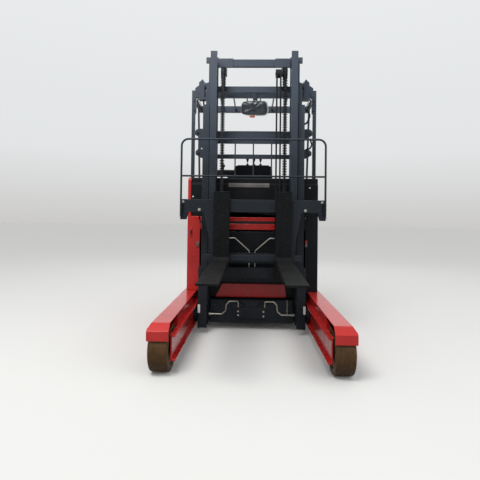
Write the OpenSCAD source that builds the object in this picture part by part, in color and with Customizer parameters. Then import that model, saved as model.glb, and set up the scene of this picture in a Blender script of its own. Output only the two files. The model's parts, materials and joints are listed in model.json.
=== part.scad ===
// Sit-on electric reach truck: straddle legs, a mast that rolls forward between them,
// three nested mast stages, a tilting and side-shifting fork frame and a steered drive wheel.
// Millimetres. X across the truck, forks towards -Y, Z up, floor at Z = 0.

/* [Legs and load wheels] */
// Width over both legs
overall_w = 1400; // [1360:5:1480]
// Load wheel axle, measured from the origin
load_axle_y = -850; // [-900:5:-820]
// Load wheel diameter
load_wheel_d = 330; // [300:2:334]
// Load wheel width
load_wheel_w = 137; // [110:1:139]
// Load axle diameter
load_axle_d = 50; // [36:1:64]
// Free width between the two leg channels
leg_gap = 1024; // [1016:2:1040]
// Depth of the leg channel, flange tips to back face
channel_depth = 37; // [34:1:44]
// Height of the leg channel
channel_h = 176; // [160:2:190]
// Underside of the leg channel above the floor
channel_z = 97; // [85:1:105]
// Web thickness of the leg channel
channel_web = 12; // [10:1:13]
// Flange thickness of the leg channel
channel_flange = 14; // [10:1:18]
// Channel end ahead of the load axle
channel_nose = 97; // [60:1:140]
// Top of the leg box above the floor
leg_top_z = 358; // [352:1:380]
// Underside of the leg box above the floor
leg_under_z = 120; // [105:1:150]
// Front plate ahead of the load axle
nose_front = 160; // [158:1:175]
// Height of the front plate's lower edge
nose_low_z = 245; // [235:1:262]
// Height where the sloping nose starts
nose_high_z = 311; // [300:1:320]
// Length of the sloping nose
nose_run = 57; // [45:1:70]
// Width of the bevel along the outer top edge
bevel_w = 24; // [12:1:26]
// Height of the bevel along the outer top edge
bevel_h = 36; // [20:1:36]
// Plate thickness of the wheel box
box_plate = 6; // [4:1:7]
// Free space from the load wheel to the leg behind it
wheel_room = 14; // [8:1:30]

/* [Chassis and body] */
// Distance from the load axle to the drive wheel axle
wheelbase = 1790; // [1760:5:1800]
// Front face of the body
body_front_y = 340; // [338:1:352]
// Width of the body
body_w = 1304; // [1290:2:1330]
// Rear face of the body
body_rear_y = 1275; // [1270:1:1290]
// Rear end of the leg channels
leg_rear_y = 520; // [510:2:540]
// Thickness of the chassis plates
chassis_plate = 12; // [8:1:16]
// Top of the battery floor
battery_floor_z = 312; // [308:1:320]
// Height of the battery
battery_h = 635; // [600:5:640]
// Depth of the battery bay
battery_bay = 340; // [330:2:350]
// Free space beside the battery
battery_side_gap = 19; // [12:1:30]
// Free space round the battery
battery_gap = 12; // [8:1:16]
// Underside of the black front wall
wall_low_z = 1100; // [1095:1:1110]
// Top of the black front wall
wall_top_z = 1490; // [1480:2:1500]
// Floor of the operator's place
floor_z = 400; // [390:2:410]
// Thickness of the side covers
cover_t = 34; // [26:1:40]
// Width of the posts beside the battery
post_w = 128; // [110:1:130]
// Depth of the rear housing
rear_d = 92; // [86:1:100]
// Top of the rear housing
rear_top_z = 1080; // [1060:5:1100]

/* [Operator place] */
// Top of the console
console_top_z = 1652; // [1640:2:1670]
// Width of the console
console_w = 410; // [390:2:430]
// Depth of the console
console_d = 100; // [90:2:110]
// Seat cushion width
seat_w = 450; // [430:5:460]
// Seat cushion depth
seat_d = 440; // [420:5:460]
// Seat cushion thickness
seat_t = 90; // [80:2:110]
// Underside of the seat cushion
seat_z = 930; // [925:2:945]
// Height of the seat back
seat_back_h = 560; // [520:5:590]
// Thickness of the seat back
seat_back_t = 90; // [80:2:100]
// Steering wheel diameter
hand_wheel_d = 260; // [240:2:280]

/* [Overhead guard] */
// Inset of the guard's sides from the body's
guard_inset = 15; // [8:1:22]
// Top of the overhead guard
guard_top_z = 2394; // [2380:2:2420]
// Height of the guard beams
guard_beam_h = 72; // [60:1:80]
// Front face of the guard
guard_front_y = 414; // [410:1:420]
// Rear face of the guard
guard_rear_y = 1000; // [960:5:1020]
// Thickness of the guard beams and posts
guard_post = 34; // [30:1:38]
// Width of the rear posts
rear_post = 20; // [14:1:30]
// Roof bar spacing
roof_pitch = 140; // [120:5:150]
// Roof bar thickness
roof_bar_t = 12; // [8:1:16]

/* [Drive unit] */
// Drive wheel diameter
drive_wheel_d = 343; // [320:1:348]
// Drive wheel width
drive_wheel_w = 110; // [90:2:120]
// Drive wheel offset to the seat side
drive_x = -240; // [-250:2:-232]
// Drive axle diameter
drive_axle_d = 44; // [36:1:50]

/* [Reach carriage] */
// Spacing of the reach rollers
reach_roller_pitch = 325; // [300:5:330]
// Reach roller width
reach_roller_w = 20; // [16:1:20]
// Side plate thickness of the reach carriage
reach_plate = 24; // [20:1:26]
// Reach cylinder bore diameter
reach_barrel_d = 70; // [60:1:76]
// Reach rod diameter
reach_rod_d = 36; // [30:1:42]
// Stroke of the reach movement
reach_stroke = 750; // [700:5:760]

/* [Mast] */
// Front face of the outer mast
outer_front_y = 63; // [60:1:66]
// Half width over the outer mast
outer_half = 476; // [474:1:478]
// Front to back depth of the outer mast rail
outer_depth = 168; // [166:1:172]
// Rail flange width of the outer mast
outer_flange = 60; // [54:1:60]
// Rail web thickness
rail_web = 12; // [10:1:12]
// Rail flange thickness
rail_t = 18; // [15:1:18]
// Top of the outer mast
outer_top_z = 2146; // [2130:2:2160]
// Foot of the outer mast
mast_foot_z = 60; // [54:1:70]
// Height by which each stage is raised at rest
stage_rise = 203; // [195:1:210]
// Length of the middle mast rails
middle_len = 2090; // [2080:2:2100]
// Length of the inner mast rails
inner_len = 2130; // [2120:2:2140]
// Front face of the inner mast
inner_front_y = -7; // [-9:1:-5]
// Half width over the inner mast front flanges
inner_half = 404; // [402:1:405]
// Front flange width of the inner mast
inner_flange = 61; // [58:1:62]
// Depth of the inner mast rail
inner_depth = 165; // [160:1:168]
// Lift cylinder barrel diameter
lift_barrel_d = 64; // [56:1:70]
// Lift rod diameter
lift_rod_d = 40; // [32:1:46]
// Chain width
chain_w = 38; // [30:1:40]
// Chain wheel diameter
sheave_d = 96; // [84:2:100]
// Diameter of the wheels over the lift rods
crosshead_wheel_d = 90; // [80:2:92]

/* [Forks and fork frame] */
// Fork blade length from the front of the shank
fork_len = 1080; // [900:10:1200]
// Fork width
fork_w = 140; // [100:2:150]
// Fork shank thickness
fork_t = 50; // [40:1:50]
// Blade thickness at the tip
fork_tip_t = 14; // [10:1:20]
// Distance between the fork centres
fork_centres = 541; // [500:1:560]
// Height of the fork underside above the floor at rest
fork_z = 660; // [655:1:665]
// Height of the fork shank
shank_h = 650; // [640:1:660]
// Width of the fork frame
frame_w = 1278; // [1240:2:1290]
// Front face of the fork bar
bar_front_y = -145; // [-147:1:-143]
// Thickness of the fork bar
bar_t = 42; // [38:1:42]
// Height of the upper fork bar
bar_h = 112; // [105:1:120]
// Top of the upper fork bar
bar_top_z = 1242; // [1240:1:1246]
// Top of the load backrest
backrest_top_z = 1779; // [1760:2:1800]
// Middle rail height of the backrest
backrest_mid_z = 1445; // [1420:2:1470]
// Tube diameter of the backrest
backrest_tube = 18; // [14:1:24]
// Corner radius of the backrest
backrest_r = 60; // [45:1:80]

/* [Clearances] */
// Running gap of rollers, bores and slides
run_gap = 0.3; // [0.2:0.05:0.3]
// Free gap between parts that pass each other
pass_gap = 6; // [5:0.5:6]

/* [Hidden] */
$fn = 48;
RED = "firebrick";
BLACK = "dimgray";
DARK = "darkslategray";
STEEL = "silver";
AMBER = "peru";

leg_outer_x = overall_w / 2;
leg_tip_x = leg_gap / 2;
leg_inner_x = leg_tip_x + channel_depth;
load_axle_z = load_wheel_d / 2;
arch_rear_y = load_axle_y + load_wheel_d / 2 + wheel_room;
nose_y = load_axle_y - nose_front;
axle_flange_t = 5;
axle_cap_t = 5;
load_wheel_x = leg_inner_x + axle_flange_t + 1;

roller_pocket = channel_h - 2 * channel_flange;
reach_roller_d = roller_pocket - 2 * run_gap;
reach_z = channel_z + channel_h / 2;
reach_front_roller_y = outer_front_y + 42;

body_half = body_w / 2;
bay_front_y = body_front_y + 5;
bay_rear_y = bay_front_y + battery_bay;
sill_z0 = leg_under_z;
wall_rear_y = guard_front_y + guard_post;
drive_y = load_axle_y + wheelbase;
cell_front_y = bay_rear_y + chassis_plate;
rear_front_y = body_rear_y - rear_d;
post_inner_x = body_half - post_w;
seat_cx = -body_half + 392;
seat_shelf_z = seat_z - 30;
seat_shelf_d = 430;
seat_side_low_z = 536;
seat_cy = (cell_front_y + rear_front_y) / 2;
pod_x = 200;
pod_y = rear_front_y - 120;
pod_z = 1120;
door_t = 15;
door_half = body_half - 92;
door_low_z = 250;
door_hinge_x = -door_half - 15;
door_hinge_y = body_rear_y - 7;
hinge_z = [300, 830];
hinge_l = 120;
hinge_pin_d = 8;

outer_web_in = outer_half - rail_web;
outer_tip_x = outer_half - outer_flange;
outer_rear_y = outer_front_y + outer_depth;
reach_guide = 39;
reach_barrel_front_y = outer_rear_y + 60;
reach_rod_rear_y = reach_barrel_front_y + reach_stroke + reach_guide;
middle_half = outer_web_in - rail_web;
middle_tip_x = inner_half + pass_gap;
middle_front_y = outer_front_y + rail_t + pass_gap;
middle_rear_y = outer_rear_y - rail_t - pass_gap;
middle_foot_z = outer_top_z - middle_len + 11 + stage_rise;
middle_top_z = middle_foot_z + middle_len;
inner_tip_x = inner_half - inner_flange;
inner_rear_y = inner_front_y + inner_depth;
inner_rear_half = middle_half - rail_web - pass_gap;
inner_cap_half = 461;
inner_foot_z = middle_foot_z + stage_rise + 21;
inner_top_z = inner_foot_z + inner_len;
mast_beam_t = 20;
ear_t = 14;
lifting_eye_d = 36;
pipe_d = 14;
pipe_y = outer_rear_y - pipe_d / 2 - run_gap;
pipe_beam = [470, 560];
pipe_block_x = 60;
pipe_block_t = 18;
pipe_block_z = [500, 545];
valve_x = 144;
valve_z = [120, 219];
lift_x = outer_half - pass_gap - lift_barrel_d / 2;
lift_y = outer_rear_y + mast_beam_t + run_gap + lift_barrel_d / 2;
lift_barrel_foot_z = mast_foot_z + 50;
lift_barrel_top_z = outer_top_z - 130;
crosshead_z = outer_top_z + 104;
crosshead_t = 24;
crosshead_x = lift_x + 30;
crosshead_pin_d = 24;
crosshead_wheel_z = middle_top_z + 28;

chain_x = inner_tip_x - 52;
chain_t = 12;
chain_leaf = 3.5;
flange_t = 2;
flange_h = 8;
links_round = 7;
chain_pitch = PI * (sheave_d + chain_t) / 2 / links_round;
sheave_w = 44;
sheave_y = inner_front_y + 116;
sheave_z = inner_top_z - 170;
sheave_pin_d = 24;
hose_d = 16;
hose_wheel_d = 80;
hose_x = [214, 250];
hose_y = sheave_y - hose_wheel_d / 2 + hose_d / 2;
hose_clamp_z = inner_foot_z + 60;
chain_tail_y = sheave_y + sheave_d / 2;
chain_front_y = sheave_y - sheave_d / 2 - chain_t;
sheave_cheek_x = chain_x - sheave_w / 2 - run_gap;

side_plate_t = 16;
side_plate_x = inner_tip_x - pass_gap - side_plate_t;
carriage_roller_d = inner_depth - 2 * rail_t - 2 * run_gap;
carriage_roller_y = inner_front_y + inner_depth / 2;
carriage_low_z = fork_z + 120;
carriage_bar_t = 22;
carriage_high_z = fork_z + 520;

tilt_y = -40;
tilt_z = bar_top_z - 62;
tilt_pin_d = 30;
tilt_lug_x = 250;
tilt_lug_t = 50;
tilt_lug_r = 26;
carriage_bar_y = -34;
ram_x = 120;
ram_z = fork_z + 75;
ram_d = 26;
ram_pin_y = -66;
ram_pin_d = 12;
ram_eye_d = 26;
ram_eye_w = 18;
ram_eye_play = 3;
shift_x0 = -190;
shift_x1 = -10;
shift_y = bar_front_y + bar_t + 23;
shift_z = bar_top_z - 62;
shift_barrel_d = 36;
shift_rod_d = 20;
shift_eye_x = 128;
shift_travel = 60;
tilt_plate_y = bar_front_y + bar_t + 5;
tilt_plate_t = 25;
shank_front_y = bar_front_y - fork_t - run_gap;
low_bar_z = fork_z + 45;
low_bar_h = 50;
hook_y = bar_front_y + 30;
hook_t = 12;
hook_drop = 14;
bar_notches = [-430, -340, -77, -15, 67, 178, 340, 430];

// Box between two opposite corners
module box(a, b) { translate(a) cube(b - a); }

module both_sides() {
    children();
    mirror([1, 0, 0]) children();
}
module both_sides_y(y) {
    children();
    translate([0, 2 * y, 0]) mirror([0, 1, 0]) children();
}

// Round bars along each axis, from one end to the other
module bar_x(x0, x1, y, z, d) {
    translate([x0, y, z]) rotate([0, 90, 0]) cylinder(h = x1 - x0, d = d);
}
module bar_y(y0, y1, x, z, d) {
    translate([x, y0, z]) rotate([-90, 0, 0]) cylinder(h = y1 - y0, d = d);
}
module bar_z(z0, z1, x, y, d) {
    translate([x, y, z0]) cylinder(h = z1 - z0, d = d);
}

// Flat plates: an outline of [x, z] points from y0 to y1, or of [y, z] points from x0 to x1
module plate_xz(y0, y1, outline) {
    translate([0, y1, 0]) rotate([90, 0, 0]) linear_extrude(y1 - y0) polygon(outline);
}
module plate_yz(x0, x1, outline) {
    translate([x0, 0, 0]) rotate([90, 0, 90]) linear_extrude(x1 - x0) polygon(outline);
}

function unit(v) = v / norm(v);

// Round tube bent along a path of points, with one bend radius
module bent_tube(path, bend, d) {
    last = len(path) - 1;
    turn = [for (i = [0 : last]) (i == 0 || i == last) ? 0
        : acos(unit(path[i] - path[i - 1]) * unit(path[i + 1] - path[i]))];
    trim = [for (i = [0 : last]) bend * tan(turn[i] / 2)];
    for (i = [0 : last - 1]) {
        u = unit(path[i + 1] - path[i]);
        start = path[i] + u * trim[i];
        length = norm(path[i + 1] - path[i]) - trim[i] - trim[i + 1];
        side = unit(cross(u, abs(u[2]) > 0.9 ? [1, 0, 0] : [0, 0, 1]));
        up = cross(u, side);
        multmatrix([[side[0], up[0], u[0], start[0]], [side[1], up[1], u[1], start[1]],
            [side[2], up[2], u[2], start[2]], [0, 0, 0, 1]])
            cylinder(h = length, d = d);
    }
    for (i = [1 : 1 : last - 1]) {
        u = unit(path[i] - path[i - 1]);
        v = unit(path[i + 1] - path[i]);
        w = unit(v - u * (u * v));
        n = cross(u, w);
        c = path[i] - u * trim[i] + w * bend;
        multmatrix([[-w[0], u[0], n[0], c[0]], [-w[1], u[1], n[1], c[1]],
            [-w[2], u[2], n[2], c[2]], [0, 0, 0, 1]])
            rotate_extrude(angle = turn[i]) translate([bend, 0]) circle(d = d);
    }
}

// Thin pipe bent in a plane of constant Y, along a path of [x, z] points
module swept_pipe(path, y, bend, d, sides = 10, steps = 4) {
    last = len(path) - 1;
    line = [for (i = [0 : last])
        let (u = i == 0 ? [0, 0] : unit(path[i] - path[i - 1]),
            v = i == last ? [0, 0] : unit(path[i + 1] - path[i]),
            turn = (i == 0 || i == last) ? 0 : acos(u * v),
            trim = bend * tan(turn / 2))
        for (k = (i == 0 || i == last) ? [0] : [0 : steps])
            let (a = turn * k / steps,
                w = (i == 0 || i == last) ? [0, 0] : unit(v - u * (u * v)),
                p = (i == 0 || i == last) ? path[i]
                    : path[i] - u * trim + w * bend * (1 - cos(a)) + u * bend * sin(a),
                t = i == 0 ? v : i == last ? u : u * cos(a) + w * sin(a))
            [p, t]];
    rings = [for (q = line) for (j = [0 : sides - 1])
        let (a = 360 * j / sides)
        [q[0][0] - q[1][1] * d / 2 * sin(a), y + d / 2 * cos(a), q[0][1] + q[1][0] * d / 2 * sin(a)]];
    n = len(line);
    polyhedron(rings, concat(
        [[for (j = [0 : sides - 1]) j]],
        [for (i = [0 : n - 2]) for (j = [0 : sides - 1])
            [i * sides + j, (i + 1) * sides + j, (i + 1) * sides + (j + 1) % sides,
                i * sides + (j + 1) % sides]],
        [[for (j = [sides - 1 : -1 : 0]) (n - 1) * sides + j]]), convexity = 4);
}

// One leg on the +X side: an inward-open channel with a plated box and wheel housing outside it
module leg() {
    channel_front_y = load_axle_y - channel_nose;
    channel_top_z = channel_z + channel_h;
    side_top = [
        [leg_inner_x, leg_top_z], [leg_outer_x - bevel_w, leg_top_z],
        [leg_outer_x, leg_top_z - bevel_h]
    ];
    difference() {
        union() {
            difference() {
                box([leg_tip_x, channel_front_y, channel_z], [leg_inner_x, leg_rear_y, channel_top_z]);
                box([leg_tip_x - 1, channel_front_y - 1, channel_z + channel_flange],
                    [leg_inner_x - channel_web, leg_rear_y + 1, channel_top_z - channel_flange]);
            }
            intersection() {
                plate_xz(nose_y, leg_rear_y,
                    concat([[leg_inner_x, leg_under_z]], side_top, [[leg_outer_x, leg_under_z]]));
                plate_yz(leg_inner_x, leg_outer_x, [
                    [nose_y, nose_low_z], [nose_y, nose_high_z], [nose_y + nose_run, leg_top_z],
                    [leg_rear_y, leg_top_z], [leg_rear_y, leg_under_z], [arch_rear_y, leg_under_z],
                    [arch_rear_y, nose_low_z]
                ]);
            }
        }
        intersection() {
            plate_xz(nose_y + box_plate, arch_rear_y, [
                [leg_inner_x, 0], [leg_inner_x, leg_top_z - box_plate],
                [leg_outer_x - bevel_w - 2, leg_top_z - box_plate],
                [leg_outer_x + 1, leg_top_z - bevel_h - box_plate - 4], [leg_outer_x + 1, 0]
            ]);
            plate_yz(leg_inner_x, leg_outer_x + 1, [
                [nose_y + box_plate, 0], [nose_y + box_plate, nose_high_z - 3],
                [nose_y + nose_run + 2, leg_top_z - box_plate], [arch_rear_y, leg_top_z - box_plate],
                [arch_rear_y, 0]
            ]);
        }
    }
}

module left_leg() { color(RED) mirror([1, 0, 0]) leg(); }
module right_leg() { color(RED) leg(); }

module load_axles() {
    color(STEEL) both_sides() {
        bar_x(leg_inner_x, leg_inner_x + axle_flange_t, load_axle_y, load_axle_z, load_axle_d + 50);
        bar_x(leg_inner_x, load_wheel_x + load_wheel_w + 1, load_axle_y, load_axle_z, load_axle_d);
        bar_x(load_wheel_x + load_wheel_w + 0.6, load_wheel_x + load_wheel_w + axle_cap_t,
            load_axle_y, load_axle_z, load_axle_d + 16);
    }
}

// Solid tyre with rounded shoulders on a dished hub, bored for its axle
module load_wheel() {
    r = load_wheel_d / 2;
    shoulder = 14;
    dish_r = r - 42;
    dish = 9;
    translate([load_wheel_x, load_axle_y, load_axle_z]) rotate([0, 90, 0]) rotate_extrude($fn = 32)
        polygon(concat(
            [[load_axle_d / 2 + run_gap, 0], [load_axle_d / 2 + 22, 0],
                [load_axle_d / 2 + 26, dish], [dish_r - 6, dish], [dish_r, 0]],
            [for (a = [-90 : 45 : 0]) [r - shoulder + shoulder * cos(a), shoulder + shoulder * sin(a)]],
            [for (a = [0 : 45 : 90]) [r - shoulder + shoulder * cos(a),
                load_wheel_w - shoulder + shoulder * sin(a)]],
            [[dish_r, load_wheel_w], [dish_r - 6, load_wheel_w - dish],
                [load_axle_d / 2 + 26, load_wheel_w - dish], [load_axle_d / 2 + 22, load_wheel_w],
                [load_axle_d / 2 + run_gap, load_wheel_w]]
        ));
}

module left_load_wheel() { color(AMBER) mirror([1, 0, 0]) load_wheel(); }
module right_load_wheel() { color(AMBER) load_wheel(); }

// Sills behind the legs, cross beam, battery bulkhead, operator floor and drive carrier
module chassis() {
    carrier_z = 520;
    color(DARK) difference() {
        union() {
            both_sides()
                box([leg_inner_x, leg_rear_y, sill_z0], [body_half, rear_front_y, battery_floor_z]);
            box([-leg_inner_x, leg_rear_y, sill_z0], [leg_inner_x, leg_rear_y + 70, battery_floor_z]);
            box([-body_half, leg_rear_y, battery_floor_z - chassis_plate],
                [body_half, bay_rear_y + chassis_plate, battery_floor_z]);
            box([-leg_inner_x, bay_front_y, battery_floor_z - chassis_plate],
                [leg_inner_x, leg_rear_y, battery_floor_z]);
            box([-body_half + cover_t, bay_rear_y, battery_floor_z],
                [body_half - cover_t, bay_rear_y + chassis_plate, wall_low_z - 40]);
            box([-20, cell_front_y, floor_z - chassis_plate], [body_half, rear_front_y, floor_z]);
            box([body_half - 60, cell_front_y, battery_floor_z], [body_half, rear_front_y, floor_z]);
            box([-20, cell_front_y, 260], [-20 + chassis_plate, rear_front_y, carrier_z]);
            box([-body_half + cover_t, cell_front_y, carrier_z],
                [-20 + chassis_plate, rear_front_y, carrier_z + 16]);
            box([-body_half + cover_t, rear_front_y - 40, 200],
                [body_half - cover_t, rear_front_y, floor_z]);
        }
        bar_y(leg_rear_y - 1, leg_rear_y + 71, 0, reach_z, reach_barrel_d + 4);
        bar_z(carrier_z - 1, carrier_z + 17, drive_x, drive_y, 200);
        box([-leg_tip_x, leg_rear_y - 300, 0], [leg_tip_x, leg_rear_y, battery_floor_z - chassis_plate]);
    }
}

// Red sill under the front of the battery, with chamfered corners, and the two side stops
module battery_tray() {
    sill_top_z = 432;
    color(RED) {
        plate_xz(body_front_y - 20, bay_front_y, [
            [-leg_tip_x + 150, battery_floor_z - 12], [-leg_tip_x + 218, sill_top_z],
            [leg_tip_x - 186, sill_top_z], [leg_tip_x - 172, battery_floor_z + 30],
            [leg_tip_x - 172, battery_floor_z - 12]
        ]);
    }
}

module battery() {
    x = post_inner_x - battery_side_gap;
    color(BLACK) box([-x, bay_front_y + 6, battery_floor_z],
        [x, bay_rear_y - battery_gap, battery_floor_z + battery_h]);
}

// Two red lips across the top of the battery bay and the black shelf behind them
module battery_hood() {
    low = battery_floor_z + battery_h + battery_gap;
    color(RED) {
        plate_yz(-post_inner_x, post_inner_x, [
            [bay_front_y, low + 8], [bay_front_y, low + 66], [bay_front_y + 8, low + 74],
            [bay_front_y + 8, low + 90], [bay_front_y, low + 94], [bay_front_y, wall_low_z - 10],
            [bay_front_y + 10, wall_low_z], [bay_rear_y, wall_low_z], [bay_rear_y, wall_low_z - 30],
            [bay_front_y + 30, wall_low_z - 30], [bay_front_y + 30, low + 8]
        ]);
    }
}

// Black wall across the body ahead of the operator
module front_wall() {
    color(BLACK) {
        plate_yz(-body_half + cover_t, body_half, [
            [bay_front_y, wall_low_z], [bay_front_y, wall_top_z - 70], [bay_front_y + 16, wall_top_z - 56],
            [bay_front_y + 16, wall_top_z - 12], [bay_front_y + 28, wall_top_z],
            [wall_rear_y - 12, wall_top_z], [wall_rear_y, wall_top_z - 12], [wall_rear_y, wall_low_z]
        ]);
    }
}

// Red cover down the seat side, with the front post beside the battery
module left_cover() {
    color(RED) difference() {
        union() {
            plate_yz(-body_half, -body_half + cover_t, [
                [body_front_y, leg_top_z], [body_front_y, wall_top_z - 24], [body_front_y + 30, wall_top_z],
                [wall_rear_y + 40, wall_top_z], [rear_front_y - 220, 1250], [rear_front_y, rear_top_z],
                [rear_front_y, sill_z0 + 60], [leg_rear_y, sill_z0 + 60], [leg_rear_y, leg_top_z]
            ]);
            plate_xz(body_front_y, bay_rear_y, [
                [-body_half, leg_top_z], [-body_half, wall_low_z - 60], [-body_half + 24, wall_low_z],
                [-post_inner_x - 18, wall_low_z], [-post_inner_x, wall_low_z - 70],
                [-post_inner_x, leg_top_z]
            ]);
        }
        box([-body_half - 1, leg_rear_y - 1, 0],
            [-body_half + cover_t + 1, rear_front_y + 1, battery_floor_z]);
    }
}

// Black post beside the battery on the entry side
module right_cover() {
    color(BLACK) {
        plate_xz(body_front_y, bay_rear_y, [
            [post_inner_x, leg_top_z], [post_inner_x, wall_low_z - 70], [post_inner_x + 20, wall_low_z],
            [body_half, wall_low_z], [body_half, leg_top_z]
        ]);
    }
}

// Rear housing with an open service bay and two hinge pins for the door
module rear_housing() {
    face_y = body_rear_y - door_t - 1;
    color(RED) {
        difference() {
            plate_yz(-body_half, body_half, [
                [rear_front_y, 200], [rear_front_y, rear_top_z], [body_rear_y - 50, rear_top_z],
                [face_y, rear_top_z - 40], [face_y, 200]
            ]);
            box([-door_half + 20, rear_front_y + 16, door_low_z + 20],
                [door_half - 20, body_rear_y, rear_top_z - 100]);
        }
        for (z = hinge_z) {
            bar_z(z - 10, z + hinge_l + 10, door_hinge_x, door_hinge_y, hinge_pin_d);
            for (low = [z - 14, z + hinge_l + run_gap])
                box([door_hinge_x - 7, face_y - 2, low],
                    [door_hinge_x + 7, body_rear_y - 2, low + 14 - run_gap]);
        }
    }
}

module rear_door() {
    color(RED) difference() {
        union() {
            box([-door_half, body_rear_y - door_t, door_low_z], [door_half, body_rear_y, rear_top_z - 80]);
            for (z = hinge_z) {
                bar_z(z, z + hinge_l, door_hinge_x, door_hinge_y, 14);
                box([door_hinge_x, door_hinge_y - 5, z + 5],
                    [-door_half + 5, door_hinge_y + 5, z + hinge_l - 5]);
            }
        }
        for (z = hinge_z)
            bar_z(z - 1, z + hinge_l + 1, door_hinge_x, door_hinge_y, hinge_pin_d + 2 * run_gap);
    }
}

module seat_base() {
    shelf_x = -body_half + cover_t;
    front = seat_cy - seat_shelf_d / 2;
    color(BLACK) {
        box([seat_cx - 200, seat_cy - 190, seat_shelf_z], [seat_cx + 180, seat_cy + 190, seat_z - 0.3]);
        box([shelf_x, front, seat_shelf_z - 40], [seat_cx + 248, front + seat_shelf_d, seat_shelf_z]);
        both_sides_y(seat_cy)
            box([shelf_x, front, seat_side_low_z], [seat_cx + 230, front + 12, seat_shelf_z - 40]);
        box([seat_cx + 236, front, seat_side_low_z],
            [seat_cx + 248, front + seat_shelf_d, seat_shelf_z - 40]);
        box([seat_cx - 320, seat_cy - 60, seat_shelf_z],
            [seat_cx - 204 - seat_back_t - run_gap, seat_cy + 60, seat_z + 300]);
    }
}

module seat_cushion() {
    color(BLACK) box([seat_cx - 200, seat_cy - seat_w / 2, seat_z],
        [seat_cx - 200 + seat_d, seat_cy + seat_w / 2, seat_z + seat_t]);
}

module seat_back() {
    color(BLACK) box([seat_cx - 204 - seat_back_t, seat_cy - seat_w / 2 + 10, seat_z + 30],
        [seat_cx - 204, seat_cy + seat_w / 2 - 10, seat_z + 30 + seat_back_h]);
}

// Rounded console beside the operator's hand
module console() {
    x = console_w / 2;
    color(BLACK) plate_xz(bay_rear_y - console_d, bay_rear_y, [
        [-x + 40, wall_low_z], [-x + 40, wall_top_z - 120], [-x, wall_top_z - 60],
        [-x, console_top_z - 50], [-x + 14, console_top_z - 16], [-x + 44, console_top_z],
        [x - 44, console_top_z], [x - 14, console_top_z - 16], [x, console_top_z - 50],
        [x, wall_top_z - 60], [x - 40, wall_top_z - 120], [x - 40, wall_low_z]
    ]);
}

module controls() {
    color(BLACK) for (x = [-60, 10, 80]) {
        bar_z(console_top_z, console_top_z + 60, x, bay_rear_y - 40, 12);
        translate([x, bay_rear_y - 40, console_top_z + 66]) sphere(d = 30);
    }
}

// Two pedals and a foot rest on the operator's floor
module pedals() {
    color(BLACK) {
        for (y = [cell_front_y + 40, cell_front_y + 140])
            plate_xz(y, y + 64, [
                [470, floor_z], [490, floor_z], [570, floor_z + 66],
                [562, floor_z + 76], [470, floor_z + 12]
            ]);
        plate_xz(cell_front_y + 232, cell_front_y + 352, [
            [480, floor_z], [592, floor_z], [592, floor_z + 58], [584, floor_z + 60], [480, floor_z + 10]
        ]);
    }
}

module steering_pod() {
    color(BLACK) {
        box([pod_x - 110, pod_y - 70, 1000], [pod_x + 110, rear_front_y, pod_z]);
        box([pod_x - 60, rear_front_y - 60, floor_z], [pod_x + 60, rear_front_y, 1000]);
        bar_z(pod_z, pod_z + 40, pod_x, pod_y, 46);
    }
}

module steering_wheel() {
    r = hand_wheel_d / 2;
    translate([pod_x, pod_y, pod_z + 40.3]) color(BLACK) {
        cylinder(h = 26, d = 60);
        translate([0, 0, 14]) rotate_extrude() translate([r - 13, 0]) circle(d = 26, $fn = 24);
        for (a = [90, 210, 330]) rotate([0, 0, a]) box([20, -14, 6], [r - 13, 14, 18]);
        translate([r - 13, 0, 20]) cylinder(h = 36, d = 12);
        translate([r - 13, 0, 62]) sphere(d = 40);
    }
}

module overhead_guard() {
    half = body_half - guard_inset;
    low = guard_top_z - guard_beam_h;
    color(DARK) {
        box([-half, guard_front_y, low], [half, guard_front_y + guard_post, guard_top_z]);
        box([-half, guard_rear_y - guard_post, low], [half, guard_rear_y, guard_top_z]);
        both_sides() {
            box([half - guard_post, guard_front_y + guard_post, low],
                [half, guard_rear_y - guard_post, guard_top_z]);
            box([half - guard_post, guard_front_y, wall_top_z], [half, guard_front_y + guard_post, low]);
            plate_xz(guard_front_y, guard_front_y + guard_post, [
                [half, low], [half, low - 165], [half - guard_post, low - 165],
                [half - guard_post - 10, low - 155], [half - guard_post - 10, low]
            ]);
            box([half - guard_post, guard_rear_y - guard_post, low],
                [body_half, guard_rear_y, guard_top_z - 20]);
            plate_yz(body_half - rear_post, body_half, [
                [guard_rear_y - guard_post, low + 10], [guard_rear_y, low + 10],
                [rear_front_y + 50, rear_top_z], [rear_front_y + 10, rear_top_z]
            ]);
        }
        for (i = [-4 : 3]) {
            x = (i + 0.5) * roof_pitch;
            box([x - roof_bar_t / 2, guard_front_y + guard_post, low + 20],
                [x + roof_bar_t / 2, guard_rear_y - guard_post, guard_top_z - 10]);
        }
    }
}

module guard_mirror() {
    low = guard_top_z - guard_beam_h;
    color(BLACK) {
        plate_xz(guard_front_y - 34, guard_front_y - 6, [
            [-132, 2180], [-122, 2262], [-100, 2284], [112, 2284], [134, 2264], [142, 2170],
            [130, 2140], [100, 2130], [-60, 2130], [-118, 2140]
        ]);
        box([-10, guard_front_y - 8, 2230], [38, guard_front_y, guard_top_z + 14]);
    }
}

module drive_motor() {
    color(DARK) {
        bar_z(560, 840, drive_x, drive_y, 180);
        bar_z(536, 560, drive_x, drive_y, 260);
    }
}

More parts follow.
